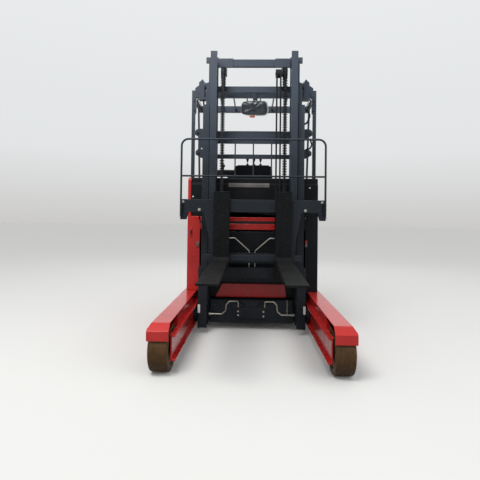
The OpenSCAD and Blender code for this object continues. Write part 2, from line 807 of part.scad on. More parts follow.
// Steered gearbox: turntable, leg beside the wheel and the axle boss
module drive_unit() {
    plate_x = drive_x + drive_wheel_w / 2 + 8;
    z = drive_wheel_d / 2;
    color(DARK) {
        bar_z(420, 535.7, drive_x, drive_y, 190);
        bar_z(390, 420, drive_x, drive_y, 240);
        box([drive_x - 60, drive_y - 80, 360], [plate_x + 50, drive_y + 80, 392]);
        box([plate_x, drive_y - 70, z - 30], [plate_x + 50, drive_y + 70, 370]);
        bar_x(plate_x, plate_x + 50, drive_y, z, 140);
        bar_x(drive_x - drive_wheel_w / 2 + 6, plate_x, drive_y, z, drive_axle_d);
    }
}

module drive_wheel() {
    r = drive_wheel_d / 2;
    w = drive_wheel_w;
    color(BLACK) translate([drive_x - w / 2, drive_y, r]) rotate([0, 90, 0]) rotate_extrude($fn = 32)
        polygon([
            [drive_axle_d / 2 + run_gap, 0], [60, 0], [66, 14], [r - 44, 14], [r - 40, 0],
            [r - 10, 0], [r - 3, 4], [r, 12], [r, w - 12], [r - 3, w - 4], [r - 10, w],
            [r - 40, w], [r - 44, w - 14], [66, w - 14], [60, w], [drive_axle_d / 2 + run_gap, w]
        ]);
}

// Side plates outside the mast feet, rollers in the leg channels and the cross members
module reach_carriage() {
    plate_x = outer_half;
    color(DARK) {
        both_sides() {
            plate_yz(plate_x, plate_x + reach_plate, [
                [outer_front_y, 55], [outer_front_y, 620], [outer_rear_y, 620], [outer_rear_y + 70, 290],
                [reach_front_roller_y + reach_roller_pitch + 50, 280],
                [reach_front_roller_y + reach_roller_pitch + 50, 110], [outer_rear_y + 40, 55]
            ]);
            for (y = [reach_front_roller_y, reach_front_roller_y + reach_roller_pitch]) {
                bar_x(plate_x + reach_plate, leg_tip_x + 2, y, reach_z, 50);
                bar_x(leg_tip_x + 1, leg_tip_x + 1 + reach_roller_w, y, reach_z, reach_roller_d);
            }
            box([plate_x - 84, outer_rear_y, 78], [plate_x, lift_y + 50, 98]);
        }
        box([16 - outer_tip_x, outer_rear_y, 70], [outer_tip_x - 16, outer_rear_y + mast_beam_t, 290]);
        box([-plate_x, outer_rear_y, 78], [plate_x, outer_rear_y + mast_beam_t, 98]);
        box([-valve_x, outer_rear_y - pipe_block_t, valve_z[0]], [valve_x, outer_rear_y + 1, valve_z[1]]);
        box([-plate_x, reach_front_roller_y + reach_roller_pitch - 20, 238],
            [plate_x, reach_front_roller_y + reach_roller_pitch + 20, 278]);
    }
}

module reach_barrel() {
    front = reach_barrel_front_y;
    color(STEEL) difference() {
        union() {
            bar_y(front, reach_rod_rear_y + 50, 0, reach_z, reach_barrel_d);
            bar_y(front, front + 40, 0, reach_z, reach_barrel_d + 12);
            bar_y(leg_rear_y + 70, leg_rear_y + 86, 0, reach_z, reach_barrel_d + 30);
        }
        bar_y(front - 1, reach_rod_rear_y + 20, 0, reach_z, reach_rod_d + 2 * run_gap);
    }
}

module reach_rod() {
    color(STEEL) {
        bar_y(outer_rear_y + mast_beam_t, reach_rod_rear_y, 0, reach_z, reach_rod_d);
        bar_y(outer_rear_y + mast_beam_t, outer_rear_y + 40, 0, reach_z, reach_rod_d + 30);
    }
}

// Inward-open rail: outline of web and two flanges between two heights
module rail(web_out, tip, front, rear, z0, z1) {
    box([tip, front, z0], [web_out, front + rail_t, z1]);
    box([tip, rear - rail_t, z0], [web_out, rear, z1]);
    box([web_out - rail_web, front, z0], [web_out, rear, z1]);
}

module outer_mast() {
    beam_y = outer_rear_y;
    color(DARK) difference() {
        union() {
            both_sides() {
                rail(outer_half, outer_tip_x, outer_front_y, outer_rear_y, mast_foot_z, outer_top_z);
                // Clamp ears on the rail's side: [middle height, reach, half height]
                for (ear = [[1908, 96, 46], [1712, 88, 43]])
                    plate_xz(beam_y - ear_t, beam_y, [
                        [outer_half - 1, ear[0] - ear[2] - 8],
                        [outer_half + ear[1] * 0.45, ear[0] - ear[2]],
                        [outer_half + ear[1], ear[0] - ear[2] * 0.3],
                        [outer_half + ear[1], ear[0] + ear[2] * 0.35],
                        [outer_half + ear[1] - 14, ear[0] + ear[2] * 0.8],
                        [outer_half + ear[1] * 0.5, ear[0] + ear[2]], [outer_half - 1, ear[0] + ear[2] - 4]
                    ]);
            }
            box([-outer_half - 64, beam_y - ear_t, 1745], [1 - outer_half, beam_y, 1880]);
            for (beam = [pipe_beam, [1664, 1705], [1812, 1930]])
                box([-outer_half, beam_y, beam[0]], [outer_half, beam_y + mast_beam_t, beam[1]]);
            box([-pipe_block_x, beam_y - pipe_block_t, pipe_block_z[0]],
                [pipe_block_x, beam_y + 1, pipe_block_z[1]]);
        }
        both_sides() bar_x(outer_half - rail_web - 1, outer_half + 1, outer_front_y + outer_depth / 2,
            outer_top_z - 46, lifting_eye_d);
        bar_y(beam_y - ear_t - 1, beam_y + 1, -505, 1758, 14);
    }
}

module lift_barrels() {
    color(BLACK) both_sides() difference() {
        bar_z(lift_barrel_foot_z - 12, lift_barrel_top_z, lift_x, lift_y, lift_barrel_d);
        bar_z(lift_barrel_foot_z + 10, lift_barrel_top_z + 1, lift_x, lift_y, lift_rod_d + 2 * run_gap);
    }
}

// Hard pipes: a V from the rails down to the block on the low beam, and a loop from the valve at the foot
module mast_pipes() {
    rail_end = outer_tip_x - run_gap;
    block_top = pipe_block_z[1] + run_gap;
    valve_top = valve_z[1] + run_gap;
    color(STEEL) both_sides() {
        swept_pipe([[rail_end, 889], [169, 889], [28, 766], [28, block_top]], pipe_y, 18, pipe_d);
        swept_pipe([[128, valve_top], [128, 277], [214, 277], [246, 242], [250, 184], [287, 153],
            [rail_end, 153]], pipe_y, 14, pipe_d);
    }
}

// Bracket from the middle stage back over a lift rod, with a wheel on its pin and a stepped guard plate
module crosshead() {
    web_x = outer_tip_x - pass_gap;
    web_t = 26;
    half = crosshead_wheel_d / 2 - 13;
    wheel_w = sheave_w;
    wheel_x0 = crosshead_x - wheel_w / 2;
    wheel_x1 = crosshead_x + wheel_w / 2;
    rear = lift_y + half;
    plate_yz(web_x - web_t, web_x, [
        [middle_rear_y - 6, middle_top_z - 60], [middle_rear_y - 6, middle_top_z],
        [middle_rear_y + 30, middle_top_z], [rear, crosshead_z + 70], [rear, crosshead_z],
        [lift_y - half, crosshead_z], [lift_y - half, crosshead_z + 20]
    ]);
    box([web_x - web_t, lift_y - half, crosshead_z], [wheel_x1 + 50, rear, crosshead_z + crosshead_t]);
    for (x = [wheel_x0 - 8, wheel_x1])
        plate_yz(x, x + 8, [
            [lift_y - half, crosshead_z + 2], [lift_y - half, crosshead_wheel_z],
            [lift_y - 16, crosshead_wheel_z + 26], [lift_y + 16, crosshead_wheel_z + 26],
            [rear, crosshead_wheel_z], [rear, crosshead_z + 2]
        ]);
    bar_x(wheel_x0 - 12, wheel_x1 + 14, lift_y, crosshead_wheel_z, crosshead_pin_d);
    bar_x(wheel_x0 - 1, wheel_x0 + 7, lift_y, crosshead_wheel_z, crosshead_wheel_d);
    bar_x(wheel_x1 - 7, wheel_x1 + 1, lift_y, crosshead_wheel_z, crosshead_wheel_d);
    bar_x(wheel_x0 + 6, wheel_x1 - 6, lift_y, crosshead_wheel_z, crosshead_wheel_d - 24);
    plate_xz(lift_y - 8, lift_y + 8, [
        [wheel_x1 + 6, crosshead_z + 2], [wheel_x1 + 6, crosshead_wheel_z + 50],
        [wheel_x1 + 21, crosshead_wheel_z + 74], [wheel_x1 + 57, crosshead_wheel_z + 40],
        [wheel_x1 + 57, crosshead_wheel_z + 12], [wheel_x1 + 95, crosshead_wheel_z - 16],
        [wheel_x1 + 95, crosshead_wheel_z - 50], [wheel_x1 + 50, crosshead_wheel_z - 72],
        [wheel_x1 + 50, crosshead_z + 2]
    ]);
}

module middle_mast() {
    color(DARK) {
        both_sides() {
            rail(middle_half, middle_tip_x, middle_front_y, middle_rear_y, middle_foot_z, middle_top_z);
            for (z = [middle_foot_z + 20, middle_foot_z + 400]) {
                box([middle_tip_x + 6, middle_front_y - pass_gap + run_gap, z],
                    [middle_half, middle_front_y, z + 80]);
                box([middle_tip_x + 6, middle_rear_y, z],
                    [middle_half, middle_rear_y + pass_gap - run_gap, z + 80]);
            }
            crosshead();
        }
        for (z = [middle_foot_z + 380, middle_top_z - 60])
            box([1 - middle_half, middle_rear_y - rail_t, z], [middle_half - 1, middle_rear_y, z + 60]);
        both_sides() box([chain_x - 16, chain_tail_y + chain_t + run_gap, middle_top_z - 60],
            [chain_x + 16, middle_rear_y - rail_t, middle_top_z - 15]);
    }
}

module lift_rods() {
    color(STEEL) both_sides()
        bar_z(lift_barrel_foot_z + 30 + stage_rise, crosshead_z - run_gap, lift_x, lift_y, lift_rod_d);
}

// Rail with a wide rear flange, rollers at its foot and the chain wheels under its top beam
module inner_mast() {
    roller_y = (middle_front_y + middle_rear_y) / 2;
    roller_d = middle_rear_y - middle_front_y - 2 * rail_t - 2 * run_gap;
    foot_cut = roller_d + 60;
    color(DARK) both_sides() {
        rail(inner_half, inner_tip_x, inner_front_y, inner_rear_y, inner_foot_z, inner_top_z);
        box([inner_half - 1, inner_rear_y - rail_t, inner_foot_z + foot_cut],
            [inner_rear_half, inner_rear_y, inner_top_z]);
        box([inner_half, inner_rear_y - rail_t, middle_top_z + stage_rise + pass_gap],
            [inner_cap_half, inner_rear_y, inner_top_z]);
        bar_x(inner_half, inner_half + 14, roller_y, inner_foot_z + foot_cut / 2, 40);
        bar_x(middle_tip_x + 2, inner_rear_half, roller_y, inner_foot_z + foot_cut / 2, roller_d);
    }
    color(DARK) {
        box([-inner_tip_x, inner_rear_y - 32, inner_top_z - 96],
            [inner_tip_x, inner_rear_y, inner_top_z - 26]);
        both_sides() {
            box([200, inner_rear_y - 40, inner_top_z - 104],
                [inner_tip_x, inner_rear_y - 32, inner_top_z - 20]);
            plate_yz(sheave_cheek_x - 10, sheave_cheek_x, [
                [sheave_y - 28, sheave_z - 22], [sheave_y - 28, sheave_z + 22],
                [inner_rear_y - 36, inner_top_z - 90], [inner_rear_y - 4, inner_top_z - 90],
                [inner_rear_y - 4, sheave_z + 10], [sheave_y + 24, sheave_z - 22]
            ]);
            bar_x(sheave_cheek_x - 5, chain_x + sheave_w / 2, sheave_y, sheave_z, sheave_pin_d);
        }
        bar_x(hose_x[0] - 14, sheave_cheek_x - 5, sheave_y, sheave_z, sheave_pin_d);
        box([-inner_tip_x, inner_rear_y - 20, inner_foot_z + 20],
            [inner_tip_x, inner_rear_y, inner_foot_z + 120]);
        box([hose_x[0] - 14, hose_y + hose_d / 2 + run_gap, hose_clamp_z],
            [hose_x[1] + 14, inner_rear_y - 20, hose_clamp_z + 30]);
    }
}

// One edge of a hanging leaf chain: packs of wide and narrow plates in turn, down to its end
function chain_edge(length) = [
    for (i = [0 : ceil(length / chain_pitch) - 1]) for (end = [0, 1])
        [chain_w / 2 - (i % 2) * chain_leaf, -min((i + end) * chain_pitch, length)]
];

module chain_run(y, top_z, bottom_z) {
    edge = chain_edge(top_z - bottom_z);
    other = [for (i = [len(edge) - 1 : -1 : 0]) [-edge[i].x, edge[i].y]];
    translate([chain_x, y + chain_t, top_z]) rotate([90, 0, 0]) linear_extrude(chain_t)
        polygon(concat(edge, other));
}

// Flanged chain wheels with a leaf chain over each: down the front to the forks, a short tail behind
module lift_chains() {
    r = sheave_d / 2;
    bore_r = sheave_pin_d / 2 + run_gap;
    color(STEEL) both_sides() {
        translate([chain_x, sheave_y, sheave_z]) {
            translate([-sheave_w / 2, 0, 0]) rotate([0, 90, 0]) rotate_extrude($fn = 24) polygon([
                [bore_r, 0], [r + flange_h, 0], [r + flange_h, flange_t], [r + 1, flange_t],
                [r + 1, sheave_w - flange_t], [r + flange_h, sheave_w - flange_t],
                [r + flange_h, sheave_w], [bore_r, sheave_w]
            ]);
            for (i = [0 : links_round - 1]) {
                half = chain_w / 2 - (1 - i % 2) * chain_leaf;
                rotate([(i + 0.5) * 180 / links_round, 0, 0])
                    box([-half, r - 1, -chain_pitch / 2], [half, r + chain_t, chain_pitch / 2]);
            }
        }
        chain_run(chain_front_y, sheave_z, carriage_high_z + 60);
        box([chain_x - chain_w / 2, chain_tail_y, middle_top_z - 60],
            [chain_x + chain_w / 2, chain_tail_y + chain_t, sheave_z]);
    }
}

module hose_guide() {
    color(BLACK) difference() {
        union() {
            for (x = hose_x) bar_z(hose_clamp_z - 40, sheave_z, x, hose_y, hose_d);
            bar_x(hose_x[0] - 10, hose_x[1] + 8, sheave_y, sheave_z, hose_wheel_d);
        }
        bar_x(hose_x[0] - 30, hose_x[1] + 30, sheave_y, sheave_z, sheave_pin_d + 2 * run_gap);
    }
}

module lift_carriage() {
    mid_z = (carriage_low_z + carriage_high_z) / 2;
    low_bar_top = carriage_low_z - 15;
    high_bar_top = tilt_z - tilt_lug_r - pass_gap;
    lug_rear_y = tilt_y + tilt_lug_r + pass_gap;
    color(DARK) difference() {
        union() {
            both_sides() {
                plate_yz(side_plate_x, side_plate_x + side_plate_t, [
                    [-44, carriage_low_z - 70], [-44, carriage_high_z + 50], [20, carriage_high_z + 70],
                    [carriage_roller_y + 30, carriage_high_z + 50],
                    [carriage_roller_y + 50, carriage_high_z],
                    [10, mid_z + 100], [10, mid_z - 100], [carriage_roller_y + 50, carriage_low_z],
                    [carriage_roller_y + 30, carriage_low_z - 50], [20, carriage_low_z - 70]
                ]);
                // Ram barrel with a collar at its mouth
                bar_y(carriage_bar_y, carriage_bar_y + 14, ram_x, ram_z, ram_d + 30);
                for (z = [carriage_low_z, carriage_high_z]) {
                    bar_x(side_plate_x + side_plate_t, inner_tip_x + 8, carriage_roller_y, z, 44);
                    bar_x(inner_tip_x + 6, inner_half - rail_web - 4,
                        carriage_roller_y, z, carriage_roller_d);
                }
                bar_y(carriage_bar_y, carriage_bar_y + 130, ram_x, ram_z, ram_d + 22);
                for (x = [tilt_lug_x - tilt_lug_t / 2 - 22, tilt_lug_x + tilt_lug_t / 2 + pass_gap])
                    plate_yz(x, x + 16, [
                        [carriage_bar_y, high_bar_top - 60],
                        [tilt_y - 22, tilt_z - 20], [tilt_y - 22, tilt_z + 20],
                        [carriage_bar_y + carriage_bar_t, tilt_z + 20],
                        [carriage_bar_y + carriage_bar_t, high_bar_top - 60]
                    ]);
                bar_x(tilt_lug_x - tilt_lug_t / 2 - 14, tilt_lug_x + tilt_lug_t / 2 + pass_gap + 8,
                    tilt_y, tilt_z, tilt_pin_d);
                plate_yz(chain_x - chain_w / 2 - pass_gap - 8, chain_x - chain_w / 2 - pass_gap, [
                    [carriage_bar_y, high_bar_top - 60], [carriage_bar_y, high_bar_top - 2],
                    [lug_rear_y - 4, high_bar_top], [lug_rear_y, high_bar_top + 8],
                    [lug_rear_y, carriage_high_z + 60], [chain_front_y, carriage_high_z + 80],
                    [chain_front_y + 12, carriage_high_z + 80], [chain_front_y + 12, carriage_high_z + 50]
                ]);
            }
            box([-side_plate_x, carriage_bar_y, carriage_low_z - 70],
                [side_plate_x, carriage_bar_y + carriage_bar_t, low_bar_top]);
            box([-side_plate_x, carriage_bar_y, high_bar_top - 80],
                [side_plate_x, carriage_bar_y + carriage_bar_t, high_bar_top]);
        }
        both_sides() bar_y(carriage_bar_y - 1, carriage_bar_y + 120, ram_x, ram_z, ram_d + 2 * run_gap);
    }
}

// Two rods that push the foot of the tilting frame, each with an eye round a loose pin
module tilt_rams() {
    color(STEEL) both_sides() difference() {
        union() {
            bar_y(ram_pin_y + 10, carriage_bar_y + 90, ram_x, ram_z, ram_d);
            bar_x(ram_x - ram_eye_w / 2, ram_x + ram_eye_w / 2, ram_pin_y, ram_z, ram_eye_d);
        }
        bar_x(ram_x - ram_eye_w, ram_x + ram_eye_w, ram_pin_y, ram_z, ram_pin_d + 2 * ram_eye_play);
    }
}

// Frame that tilts on two lugs: slotted top plate round the side-shift ram, and ears for the tilt rams
module tilt_frame() {
    y0 = tilt_plate_y;
    y1 = tilt_plate_y + tilt_plate_t;
    color(DARK) difference() {
        union() {
            difference() {
                box([-400, y0, bar_top_z - 100], [400, y1, bar_top_z - 30]);
                box([shift_x1, y0 - 1, shift_z - 20],
                    [shift_eye_x + shift_travel + 16, y1 + 1, shift_z + 20]);
            }
            box([-340, y0, low_bar_z], [340, y1, low_bar_z + low_bar_h]);
            bar_x(shift_x0, shift_x1, shift_y, shift_z, shift_barrel_d);
            both_sides() {
                box([tilt_lug_x - 20, y0, low_bar_z], [tilt_lug_x + 20, y1, bar_top_z - 40]);
                box([tilt_lug_x - tilt_lug_t / 2, y1, tilt_z - tilt_lug_r],
                    [tilt_lug_x + tilt_lug_t / 2, tilt_y, tilt_z + tilt_lug_r]);
                bar_x(tilt_lug_x - tilt_lug_t / 2, tilt_lug_x + tilt_lug_t / 2,
                    tilt_y, tilt_z, 2 * tilt_lug_r);
                for (x = [ram_x - ram_eye_w / 2 - 15, ram_x + ram_eye_w / 2 + 5])
                    box([x, y0 + 2, ram_z - 14], [x + 10, ram_pin_y + 8, ram_z + 14]);
            }
        }
        both_sides() {
            bar_x(tilt_lug_x - tilt_lug_t, tilt_lug_x + tilt_lug_t,
                tilt_y, tilt_z, tilt_pin_d + 2 * run_gap);
            box([ram_x - ram_eye_w / 2 - 5, y0 + 12, ram_z - ram_eye_d],
                [ram_x + ram_eye_w / 2 + 5, y1 + 1, ram_z + ram_eye_d]);
        }
        bar_x(shift_x0 + 10, shift_x1 + 1, shift_y, shift_z, shift_rod_d + 2 * run_gap);
    }
    color(DARK) both_sides()
        bar_x(ram_x - ram_eye_w / 2 - 7, ram_x + ram_eye_w / 2 + 7, ram_pin_y, ram_z, ram_pin_d);
}

module fork_frame() {
    y0 = bar_front_y;
    y1 = bar_front_y + bar_t;
    half = frame_w / 2;
    color(DARK) {
        difference() {
            plate_yz(-half + 30, half - 30, [
                [y0, bar_top_z - bar_h], [y0, bar_top_z], [hook_y - hook_t - run_gap, bar_top_z],
                [hook_y - hook_t - run_gap, bar_top_z - hook_drop],
                [hook_y + run_gap, bar_top_z - hook_drop],
                [hook_y + run_gap, bar_top_z], [y1, bar_top_z], [y1, bar_top_z - bar_h]
            ]);
            for (x = bar_notches)
                box([x - 9, y0 - 1, bar_top_z - 9], [x + 9, hook_y - hook_t, bar_top_z + 1]);
        }
        both_sides() {
            plate_xz(y0, y1, [
                [half - 30, bar_top_z], [half - 14, bar_top_z], [half, bar_top_z - 24],
                [half, bar_top_z - 180], [half - 50, bar_top_z - 180], [half - 70, bar_top_z - bar_h],
                [half - 70, bar_top_z - bar_h + 20], [half - 30, bar_top_z - bar_h + 20]
            ]);
            plate_xz(y0, y1, [
                [345, bar_top_z - bar_h + 1], [428, bar_top_z - bar_h + 1], [362, low_bar_z + 90],
                [362, low_bar_z], [290, low_bar_z], [290, low_bar_z + 60]
            ]);
        }
        box([-430, y0, low_bar_z], [430, y1, low_bar_z + low_bar_h]);
        box([-360, y1, bar_top_z - 29.7], [360, y1 + 24, bar_top_z - 12]);
        bar_x(shift_x0 + 80, shift_eye_x + 8, shift_y, shift_z, shift_rod_d);
        box([shift_eye_x - 8, y1 - 1, shift_z - 14], [shift_eye_x + 8, shift_y + 16, shift_z + 14]);
        box([-330, y1, low_bar_z + 10], [330, tilt_plate_y - run_gap, low_bar_z + 40]);
    }
}

module load_backrest() {
    half = frame_w / 2 - backrest_tube / 2;
    y = bar_front_y - 18 - backrest_tube / 2;
    color(DARK) {
        bent_tube([[-half, y, bar_top_z - 150],
            [-half, y, backrest_top_z - 9], [half, y, backrest_top_z - 9],
            [half, y, bar_top_z - 150]], backrest_r, backrest_tube);
        bar_x(-half, half, y, backrest_mid_z, backrest_tube - 2);
        for (x = [-380, -190, 0, 190, 380])
            bar_z(backrest_mid_z, backrest_top_z - 9, x, y, 12);
        both_sides() box([half - 9, y, bar_top_z - 150], [half + 9, bar_front_y, bar_top_z - 20]);
    }
}

module fork(x) {
    y0 = shank_front_y;
    top_z = fork_z + shank_h;
    tip_y = y0 - fork_len;
    color(BLACK) translate([x, 0, 0]) {
        plate_yz(-fork_w / 2, fork_w / 2, [
            [tip_y, fork_z], [tip_y, fork_z + fork_tip_t], [y0 - 260, fork_z + fork_t],
            [y0 - 30, fork_z + fork_t], [y0, fork_z + fork_t + 30], [y0, top_z],
            [y0 + fork_t, top_z], [y0 + fork_t, fork_z + 30], [y0 + fork_t - 30, fork_z]
        ]);
        plate_yz(-fork_w / 2, fork_w / 2, [
            [y0 + fork_t, bar_top_z + run_gap], [hook_y - hook_t, bar_top_z + run_gap],
            [hook_y - hook_t, bar_top_z - hook_drop + 2], [hook_y, bar_top_z - hook_drop + 2],
            [hook_y, bar_top_z + 22], [y0 + fork_t, bar_top_z + 36]
        ]);
        plate_yz(-fork_w / 2, fork_w / 2, [
            [y0 + fork_t, low_bar_z - run_gap], [bar_front_y + 30, low_bar_z - run_gap],
            [bar_front_y + 30, low_bar_z - 16], [y0 + fork_t, low_bar_z - 30]
        ]);
    }
}

module left_fork() { fork(-fork_centres / 2); }
module right_fork() { fork(fork_centres / 2); }

left_leg();
right_leg();
load_axles();
left_load_wheel();
right_load_wheel();
chassis();
battery_tray();
battery();
battery_hood();
front_wall();
left_cover();
right_cover();
rear_housing();
rear_door();
seat_base();
seat_cushion();
seat_back();
console();
controls();
pedals();
steering_pod();
steering_wheel();
overhead_guard();
guard_mirror();
drive_motor();
drive_unit();
drive_wheel();
reach_carriage();
reach_barrel();
reach_rod();
outer_mast();
lift_barrels();
mast_pipes();
middle_mast();
lift_rods();
inner_mast();
lift_chains();
hose_guide();
lift_carriage();
tilt_rams();
tilt_frame();
fork_frame();
load_backrest();
left_fork();
right_fork();
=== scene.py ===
import json
import math

import bmesh
import bpy
from mathutils import Matrix, Vector, noise
from mathutils.bvhtree import BVHTree


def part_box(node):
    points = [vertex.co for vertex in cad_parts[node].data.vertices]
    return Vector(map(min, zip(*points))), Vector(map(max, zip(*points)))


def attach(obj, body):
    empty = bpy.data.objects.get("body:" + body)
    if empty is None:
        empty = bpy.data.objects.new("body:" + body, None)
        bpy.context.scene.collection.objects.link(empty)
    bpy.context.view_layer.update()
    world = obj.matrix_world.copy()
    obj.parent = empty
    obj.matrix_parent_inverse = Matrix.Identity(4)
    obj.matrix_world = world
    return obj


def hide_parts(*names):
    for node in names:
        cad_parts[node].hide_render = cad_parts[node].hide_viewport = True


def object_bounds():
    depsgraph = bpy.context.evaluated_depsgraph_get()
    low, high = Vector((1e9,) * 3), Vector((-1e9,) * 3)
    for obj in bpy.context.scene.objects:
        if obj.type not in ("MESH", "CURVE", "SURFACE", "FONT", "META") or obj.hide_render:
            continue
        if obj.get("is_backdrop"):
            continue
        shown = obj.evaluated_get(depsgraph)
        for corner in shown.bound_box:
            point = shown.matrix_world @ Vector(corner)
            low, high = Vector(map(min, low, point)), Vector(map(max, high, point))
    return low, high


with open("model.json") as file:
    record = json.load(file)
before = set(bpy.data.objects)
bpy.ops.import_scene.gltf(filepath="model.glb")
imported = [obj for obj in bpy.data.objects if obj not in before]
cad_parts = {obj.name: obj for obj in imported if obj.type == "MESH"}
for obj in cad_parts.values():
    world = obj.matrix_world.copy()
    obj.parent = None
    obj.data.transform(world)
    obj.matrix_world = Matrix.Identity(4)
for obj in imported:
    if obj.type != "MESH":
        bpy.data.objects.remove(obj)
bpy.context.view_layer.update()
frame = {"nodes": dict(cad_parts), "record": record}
scene = bpy.context.scene
scene.view_settings.view_transform = "Standard"
record = frame["record"]
slotOf = {part["node"]: part["material_slot"] for part in record["subparts"]}
bodyOf = {node: body for body, nodes in record["behaviour"]["bodies"].items() for node in nodes}


# sRGB hex to the linear colour that a socket takes
def linear(code):
    out = []
    for i in (0, 2, 4):
        c = int(code[i:i + 2], 16) / 255
        out.append(c / 12.92 if c <= 0.04045 else ((c + 0.055) / 1.055) ** 2.4)
    return (*out, 1.0)


# an input takes a value, a socket, another node's first live output, or a list of them
def addNode(tree, kind, inputs=None, **settings):
    node = tree.nodes.new(kind)
    for name, value in settings.items():
        setattr(node, name, value)
    for key, given in (inputs or {}).items():
        for value in (reversed(given) if isinstance(given, list) else [given]):
            if isinstance(value, bpy.types.Node):
                value = next(socket for socket in value.outputs if socket.enabled)
            if isinstance(value, bpy.types.NodeSocket):
                tree.links.new(value, node.inputs[key])
            else:
                node.inputs[key].default_value = value
    return node


# pale floor, soft lamps and the photograph's viewpoint
stage = {
    "floorSeen": "D8D7D4",
    "floorLit": "5C5A56",     # what the object gets back from the floor, as from dark paving
    "floorHalf": 120.0,
    "skyTop": "F4F6F8",
    "skySide": "E2E4E5",
    "sideAt": 0.16,
    "skyRim": "CCCBC9",       # at the horizon, where floor and sky meet
    "skyStrength": 1.0,
}
lamps = {    # each: place, aim, width and height, watts, colour
    "key": ((-1.4, -3.0, 5.0), (0, -0.1, 1.9), (2.4, 1.8), 165.0, "FFFFFF"),
    "fill": ((4.4, -3.6, 3.2), (0, 0, 1.0), (3.5, 3.0), 40.0, "F4F8FF"),
    "back": ((0.5, 5.2, 4.6), (0, 0, 1.2), (4.5, 2.5), 60.0, "F4F8FF"),
}
view = {
    "place": (-0.007, -3.649, 1.044),
    "yaw": 1.70,
    "pitch": 1.23,
    "roll": 0.72,
    "lens": 29.9,
    "shiftUp": -0.0552,
    "near": 0.05,
    "far": 200,
}


def makeCamera():
    data = bpy.data.cameras.new("camera")
    data.lens = view["lens"]
    data.sensor_width = 36
    data.shift_y = view["shiftUp"]
    data.clip_start = view["near"]
    data.clip_end = view["far"]
    yaw, pitch, roll = (math.radians(view[k]) for k in ("yaw", "pitch", "roll"))
    ahead = Vector((-math.sin(yaw) * math.cos(pitch), math.cos(yaw) * math.cos(pitch), math.sin(pitch)))
    level = Vector((math.cos(yaw), math.sin(yaw), 0))
    above = level.cross(ahead)
    right = level * math.cos(roll) + above * math.sin(roll)
    up = right.cross(ahead)
    turn = Matrix((right, up, -ahead)).transposed().to_4x4()
    camera = bpy.data.objects.new("camera", data)
    camera.matrix_world = Matrix.Translation(view["place"]) @ turn
    scene.collection.objects.link(camera)
    scene.camera = camera


def makeWorld():
    world = bpy.data.worlds.new("overcast")
    scene.world = world
    world.use_nodes = True
    tree = world.node_tree
    tree.nodes.clear()
    place = addNode(tree, "ShaderNodeTexCoord").outputs["Generated"]
    height = addNode(tree, "ShaderNodeSeparateXYZ", {0: place}).outputs["Z"]
    ramp = addNode(tree, "ShaderNodeValToRGB", {0: addNode(tree, "ShaderNodeMapRange", {0: height})})
    stops = ramp.color_ramp.elements
    stops[0].position, stops[0].color = 0.0, linear(stage["skyRim"])
    stops[1].position, stops[1].color = 1.0, linear(stage["skyTop"])
    stops.new(stage["sideAt"]).color = linear(stage["skySide"])
    sky = addNode(tree, "ShaderNodeBackground", {0: ramp, 1: stage["skyStrength"]})
    addNode(tree, "ShaderNodeOutputWorld", {0: sky})


def makeLamp(name, place, aim, size, power, colour):
    data = bpy.data.lights.new(name, "AREA")
    data.shape = "RECTANGLE"
    data.size, data.size_y = size
    data.energy = power
    data.color = linear(colour)[:3]
    lamp = bpy.data.objects.new(name, data)
    lamp.location = place
    lamp.rotation_euler = (Vector(aim) - Vector(place)).to_track_quat("-Z", "Y").to_euler()
    scene.collection.objects.link(lamp)


def makeFloor(material):
    half = stage["floorHalf"]
    mesh = bpy.data.meshes.new("floor")
    corners = [(-half, -half, 0), (half, -half, 0), (half, half, 0), (-half, half, 0)]
    mesh.from_pydata(corners, [], [(0, 1, 2, 3)])
    mesh.materials.append(material)
    floor = bpy.data.objects.new("floor", mesh)
    scene.collection.objects.link(floor)
    floor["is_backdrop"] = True


# Materials, each named for what the real one is. A noise's scale is one over the size of its grain.
grain = {    # metres across one cloud, fleck, streak or nick
    "paintCloud": 0.22, "paintDust": 0.035, "rubbedEdge": 0.012, "steelCloud": 0.06, "plasticCloud": 0.09,
    "plasticDust": 0.02, "treadCloud": 0.05, "treadStreak": 0.03, "treadNick": 0.016, "vinylCloud": 0.07,
    "vinylWarp": 0.006,
}
dustColour = {"paint": "8D867C", "plastic": "7E7A72"}


def startMaterial(name):
    material = bpy.data.materials.new(name)
    material.use_nodes = True
    tree = material.node_tree
    tree.nodes.clear()
    return material, tree, addNode(tree, "ShaderNodeTexCoord").outputs["Object"]


def endMaterial(material, tree, shader):
    addNode(tree, "ShaderNodeOutputMaterial", {0: shader})
    return material


# a cloud of the finish's two shades, which breaks the flat colour up
def cloudyColour(tree, place, s, size, detail=3.0, rough=0.6):
    cloud = addNode(tree, "ShaderNodeTexNoise", {
        "Vector": place, "Scale": 1 / size, "Detail": detail, "Roughness": rough})
    tone = addNode(tree, "ShaderNodeMapRange", {0: cloud, 1: 0.3, 2: 0.7})
    return cloud, addNode(tree, "ShaderNodeMix", {
        0: tone, 6: linear(s["colour"]), 7: linear(s["deep"])}, data_type="RGBA")


# how much dust lies on each spot: patches, and only where the surface faces up
def settledDust(tree, place, size, detail, low, high, most):
    normal = addNode(tree, "ShaderNodeNewGeometry").outputs["Normal"]
    z = addNode(tree, "ShaderNodeSeparateXYZ", {0: normal}).outputs["Z"]
    upward = addNode(tree, "ShaderNodeMapRange", {0: z, 1: 0.5, 2: 0.98})
    speck = addNode(tree, "ShaderNodeTexNoise", {
        "Vector": place, "Scale": 1 / size, "Detail": detail, "Roughness": 0.7})
    patch = addNode(tree, "ShaderNodeMapRange", {0: speck, 1: low, 2: high, 4: most})
    return addNode(tree, "ShaderNodeMath", {0: upward, 1: patch}, operation="MULTIPLY")


